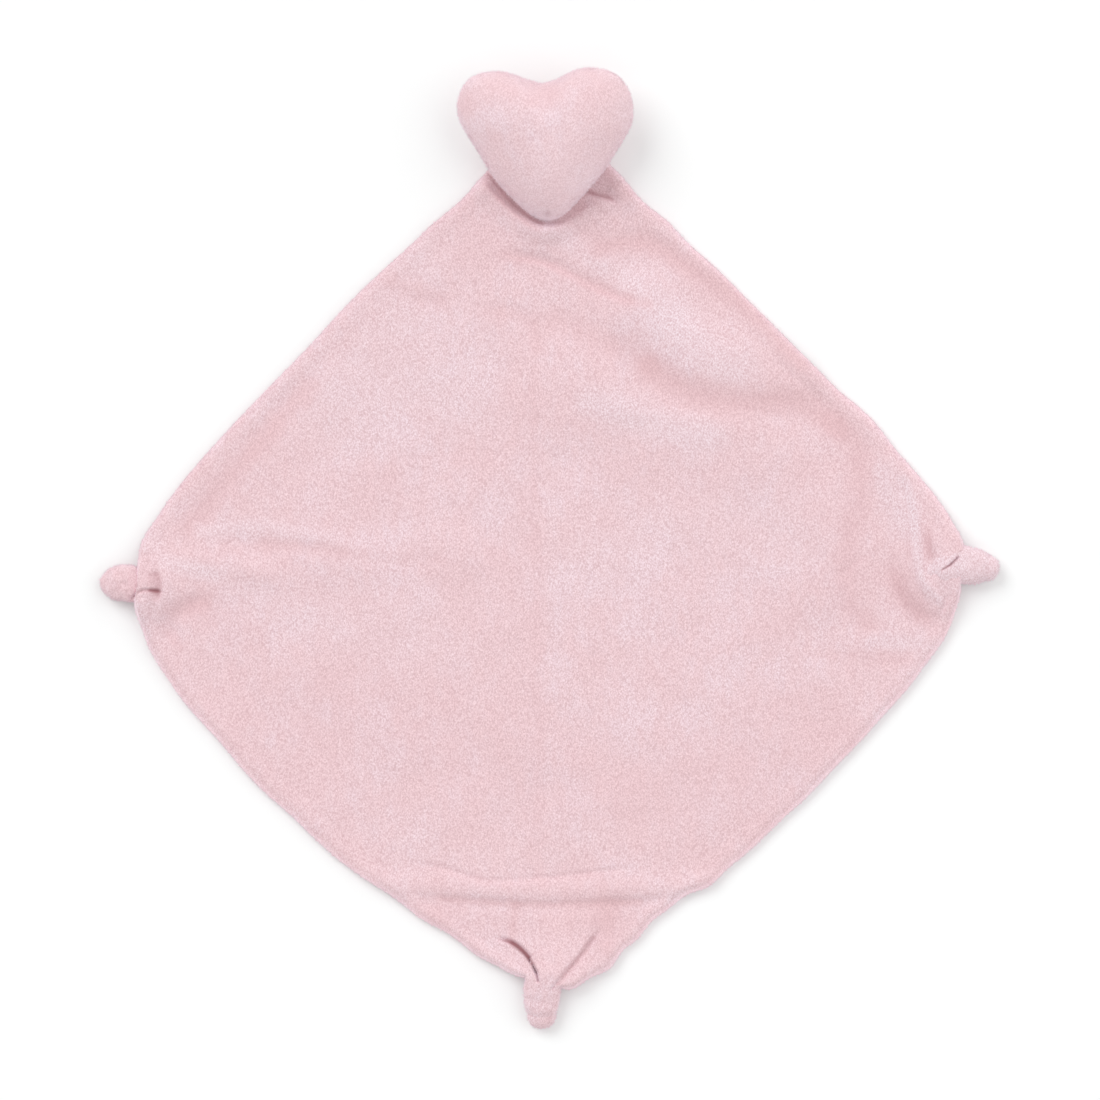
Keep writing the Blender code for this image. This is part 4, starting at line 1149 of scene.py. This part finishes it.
inA = 1 - 2 * seam["inset"] / cloth["width"]
inB = 1 - 2 * seam["inset"] / cloth["length"]
run = np.linspace(-1, 1, seam["steps"])
level = np.ones(seam["steps"])
seamThreads = {
    "upper_edge_thread": sewRim("upperSeam", (-inA * level, run * inB), (run[1:] * inA, inB * level[1:])),
    "lower_left_edge_thread": sewRim("lowerLeftSeam", (-run * inA, -inB * level)),
    "lower_right_edge_thread": sewRim("lowerRightSeam", (inA * level, run * inB)),
}
cornerStitches = sewCorner()

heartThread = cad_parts["heart_edge_thread"]
heartThread.data.materials.clear()
heartThread.data.materials.append(pinkThread)
print("heart and threads made")

pile = {"seed": 11, "length": 0.0009, "shortest": 0.5, "girth": 0.00016, "sway": 0.8, "sunk": 0.0002,
        "lit": 0.6,                   # the tufts get at least this much painted sheen and painted glow
        "edgeOnFrom": 0.65, "edgeOnOver": 0.4, "edgeOnTo": -0.5,        # slopes that count as seen edge on
        "clothTufts": 15000, "underTufts": 5000, "heartTufts": 7000, "knotTufts": 1300}


def unit(vectors):
    return vectors / np.linalg.norm(vectors, axis=1)[:, None]


def growPile(name, obj, count, share, material):
    # Short tufts, each a closed three-sided spike; share is the chance of one at each point
    obj.data.calc_loop_triangles()
    tris = np.array([t.vertices[:] for t in obj.data.loop_triangles])
    corners = pointsOf(obj)[tris]
    across = np.cross(corners[:, 1] - corners[:, 0], corners[:, 2] - corners[:, 0])
    size = np.linalg.norm(across, axis=1)
    chance = size * share[tris].mean(axis=1)
    draw = np.random.default_rng(pile["seed"])
    chosen = draw.choice(len(tris), size=count, p=chance / chance.sum())
    u, v = draw.random((2, count, 1))
    u, v = np.where(u + v > 1, 1 - u, u), np.where(u + v > 1, 1 - v, v)
    c = corners[chosen]
    root = c[:, 0] + (c[:, 1] - c[:, 0]) * u + (c[:, 2] - c[:, 0]) * v
    outward = across[chosen] / size[chosen][:, None]
    way = unit(outward + draw.normal(size=(count, 3)) * pile["sway"])
    side = unit(np.cross(way, draw.normal(size=(count, 3))))
    other = np.cross(way, side)
    points = [root + way * (pile["length"] * (pile["shortest"] + draw.random((count, 1))))]
    for k in range(3):
        turn = math.tau * k / 3
        foot = (side * math.cos(turn) + other * math.sin(turn)) * pile["girth"]
        points.append(root - outward * pile["sunk"] + foot)
    points = np.stack(points, axis=1).reshape(-1, 3)
    first = np.arange(count)[:, None] * 4
    faces = np.concatenate([first + f for f in ((0, 1, 2), (0, 2, 3), (0, 3, 1), (1, 3, 2))])
    tufts = newPiece(name, points, faces, material)
    # the tufts carry painted sheen and painted glow, at least pile lit
    for mark in ("edgeOn", "backLit"):
        below = np.zeros(count)
        if mark in obj.data.attributes:
            below = readVerts(obj, mark)[tris[chosen]].mean(axis=1)
        paintVerts(tufts, mark, np.repeat(np.maximum(below, pile["lit"]), 4))
    return tufts


def seenEdgeOn(obj):
    up = normalsOf(obj)[:, 2]
    return np.clip((pile["edgeOnFrom"] - up) / pile["edgeOnOver"], 0, 1) * (up > pile["edgeOnTo"])


piles = [
    ("rimPile", frontCloth, pile["clothTufts"], readVerts(frontCloth, "rim"), "blanket", "blanket_plush"),
    ("underPile", backCloth, pile["underTufts"], readVerts(backCloth, "rim"), "blanket", "blanket_plush"),
    ("heartPile", heartPiece, pile["heartTufts"], seenEdgeOn(heartPiece), "heart", "heart_plush"),
    *((name + "Pile", obj, pile["knotTufts"], seenEdgeOn(obj), "blanket", "knot_plush")
      for name, obj in knotPieces.items()),
]
for name, obj, count, share, body, slotName in piles:
    tufts = growPile(name, obj, count, share, obj.data.materials[0])
    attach(tufts, body)
print("pile grown")

for obj, body, nodes, slotName in (
        (frontCloth, "blanket", ["blanket_front_panel"], "blanket_plush"),
        (backCloth, "blanket", ["blanket_back_panel"], "blanket_plush"),
        *((knotPieces[name], "blanket", [spec["node"]], "knot_plush") for name, spec in knots.items()),
        (cornerStitches, "blanket", ["heart_stitches"], "sewing_thread"),
        *((thread, "blanket", [node], "sewing_thread") for node, thread in seamThreads.items()),
        (heartPiece, "heart", ["heart_front_panel", "heart_back_panel"], "heart_plush"),
        (heartFibre, "heart", ["heart_filling"], "fibre_fill")):
    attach(obj, body)
    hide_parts(*nodes)

studio = {
    "world": 0.485,
    "lamps": [                        # name, strength, where from, how soft in degrees
        ("windowLight", 1.44, (-0.52, 0.52, 0.67), 44),      # upper left
        ("wallLight", 1.35, (0.80, 0.30, 0.52), 90),         # from a pale wall on the right
        ("cardLight", 0.50, (-0.36, -0.73, 0.40), 100),      # from a card below the picture
    ],
    "lampAway": 3,
    "floor": (0.885, 0.893, 0.890), "floorSpeck": 0.004, "specks": (60, 3, 0.5),
    "floorGlow": 0.056, "floorRadius": 14, "floorSides": 96,
    "floorDrop": 0.0002,              # below the cloth, so that the two don't share a plane
    "cameraHeight": 4.0, "frameWidth": 0.55, "aim": (0.0005, -0.0005), "clothTop": 0.010,
}


def seenDirectly(tree, *rays):
    path = addNode(tree, "ShaderNodeLightPath")
    seen = path.outputs["Is Camera Ray"]
    for ray in rays:
        seen = mathNode(tree, "MAXIMUM", seen, path.outputs[ray])
    return seen


def makeTable():
    bpy.ops.mesh.primitive_circle_add(vertices=studio["floorSides"], radius=studio["floorRadius"],
                                      fill_type="NGON", location=(0, 0, -studio["floorDrop"]))
    table = bpy.context.object
    table.name = "studioFloor"
    material, tree, shader = newMaterial("paleFloor")
    specks = noise(tree, objectCoords(tree), *studio["specks"]).outputs["Fac"]
    darker = tuple(c - studio["floorSpeck"] for c in studio["floor"])
    tone = mixColour(tree, specks, darker, studio["floor"])
    feed(tree, shader, {"Base Color": tone, "Roughness": 1.0, "Specular IOR Level": 0.0})
    seen = seenDirectly(tree, "Is Glossy Ray", "Is Transmission Ray")
    strength = mathNode(tree, "MULTIPLY", seen, studio["floorGlow"])
    glow = addNode(tree, "ShaderNodeEmission", {"Strength": strength})
    both = addNode(tree, "ShaderNodeAddShader", {0: shader.outputs[0], 1: glow.outputs[0]})
    feed(tree, tree.nodes["Material Output"], {"Surface": both.outputs[0]})
    table.data.materials.append(material)


def lightStudio():
    world = bpy.data.worlds.new("studioAir")
    scene.world = world
    world.use_nodes = True
    tree = world.node_tree
    seen = seenDirectly(tree, "Is Transmission Ray")
    strength = mixValue(tree, seen, studio["world"], 1.0)
    feed(tree, tree.nodes["Background"], {"Strength": strength, "Color": (1, 1, 1, 1)})
    for name, strength, source, soft in studio["lamps"]:
        bpy.ops.object.light_add(type="SUN", location=[studio["lampAway"] * c for c in source])
        lamp = bpy.context.object
        lamp.name = name
        lamp.data.energy = strength
        lamp.data.angle = math.radians(soft)
        lamp.rotation_euler = (-Vector(source)).to_track_quat("-Z", "Y").to_euler()


def setCamera():
    bpy.ops.object.camera_add(location=(*studio["aim"], studio["cameraHeight"]), rotation=(0, 0, 0))
    camera = bpy.context.object
    camera.name = "overhead"
    camera.data.sensor_width = 36
    distance = studio["cameraHeight"] - studio["clothTop"]
    camera.data.lens = camera.data.sensor_width * distance / studio["frameWidth"]
    camera.data.clip_end = 100
    scene.camera = camera
    scene.view_settings.view_transform = "Standard"


makeTable()
lightStudio()
setCamera()
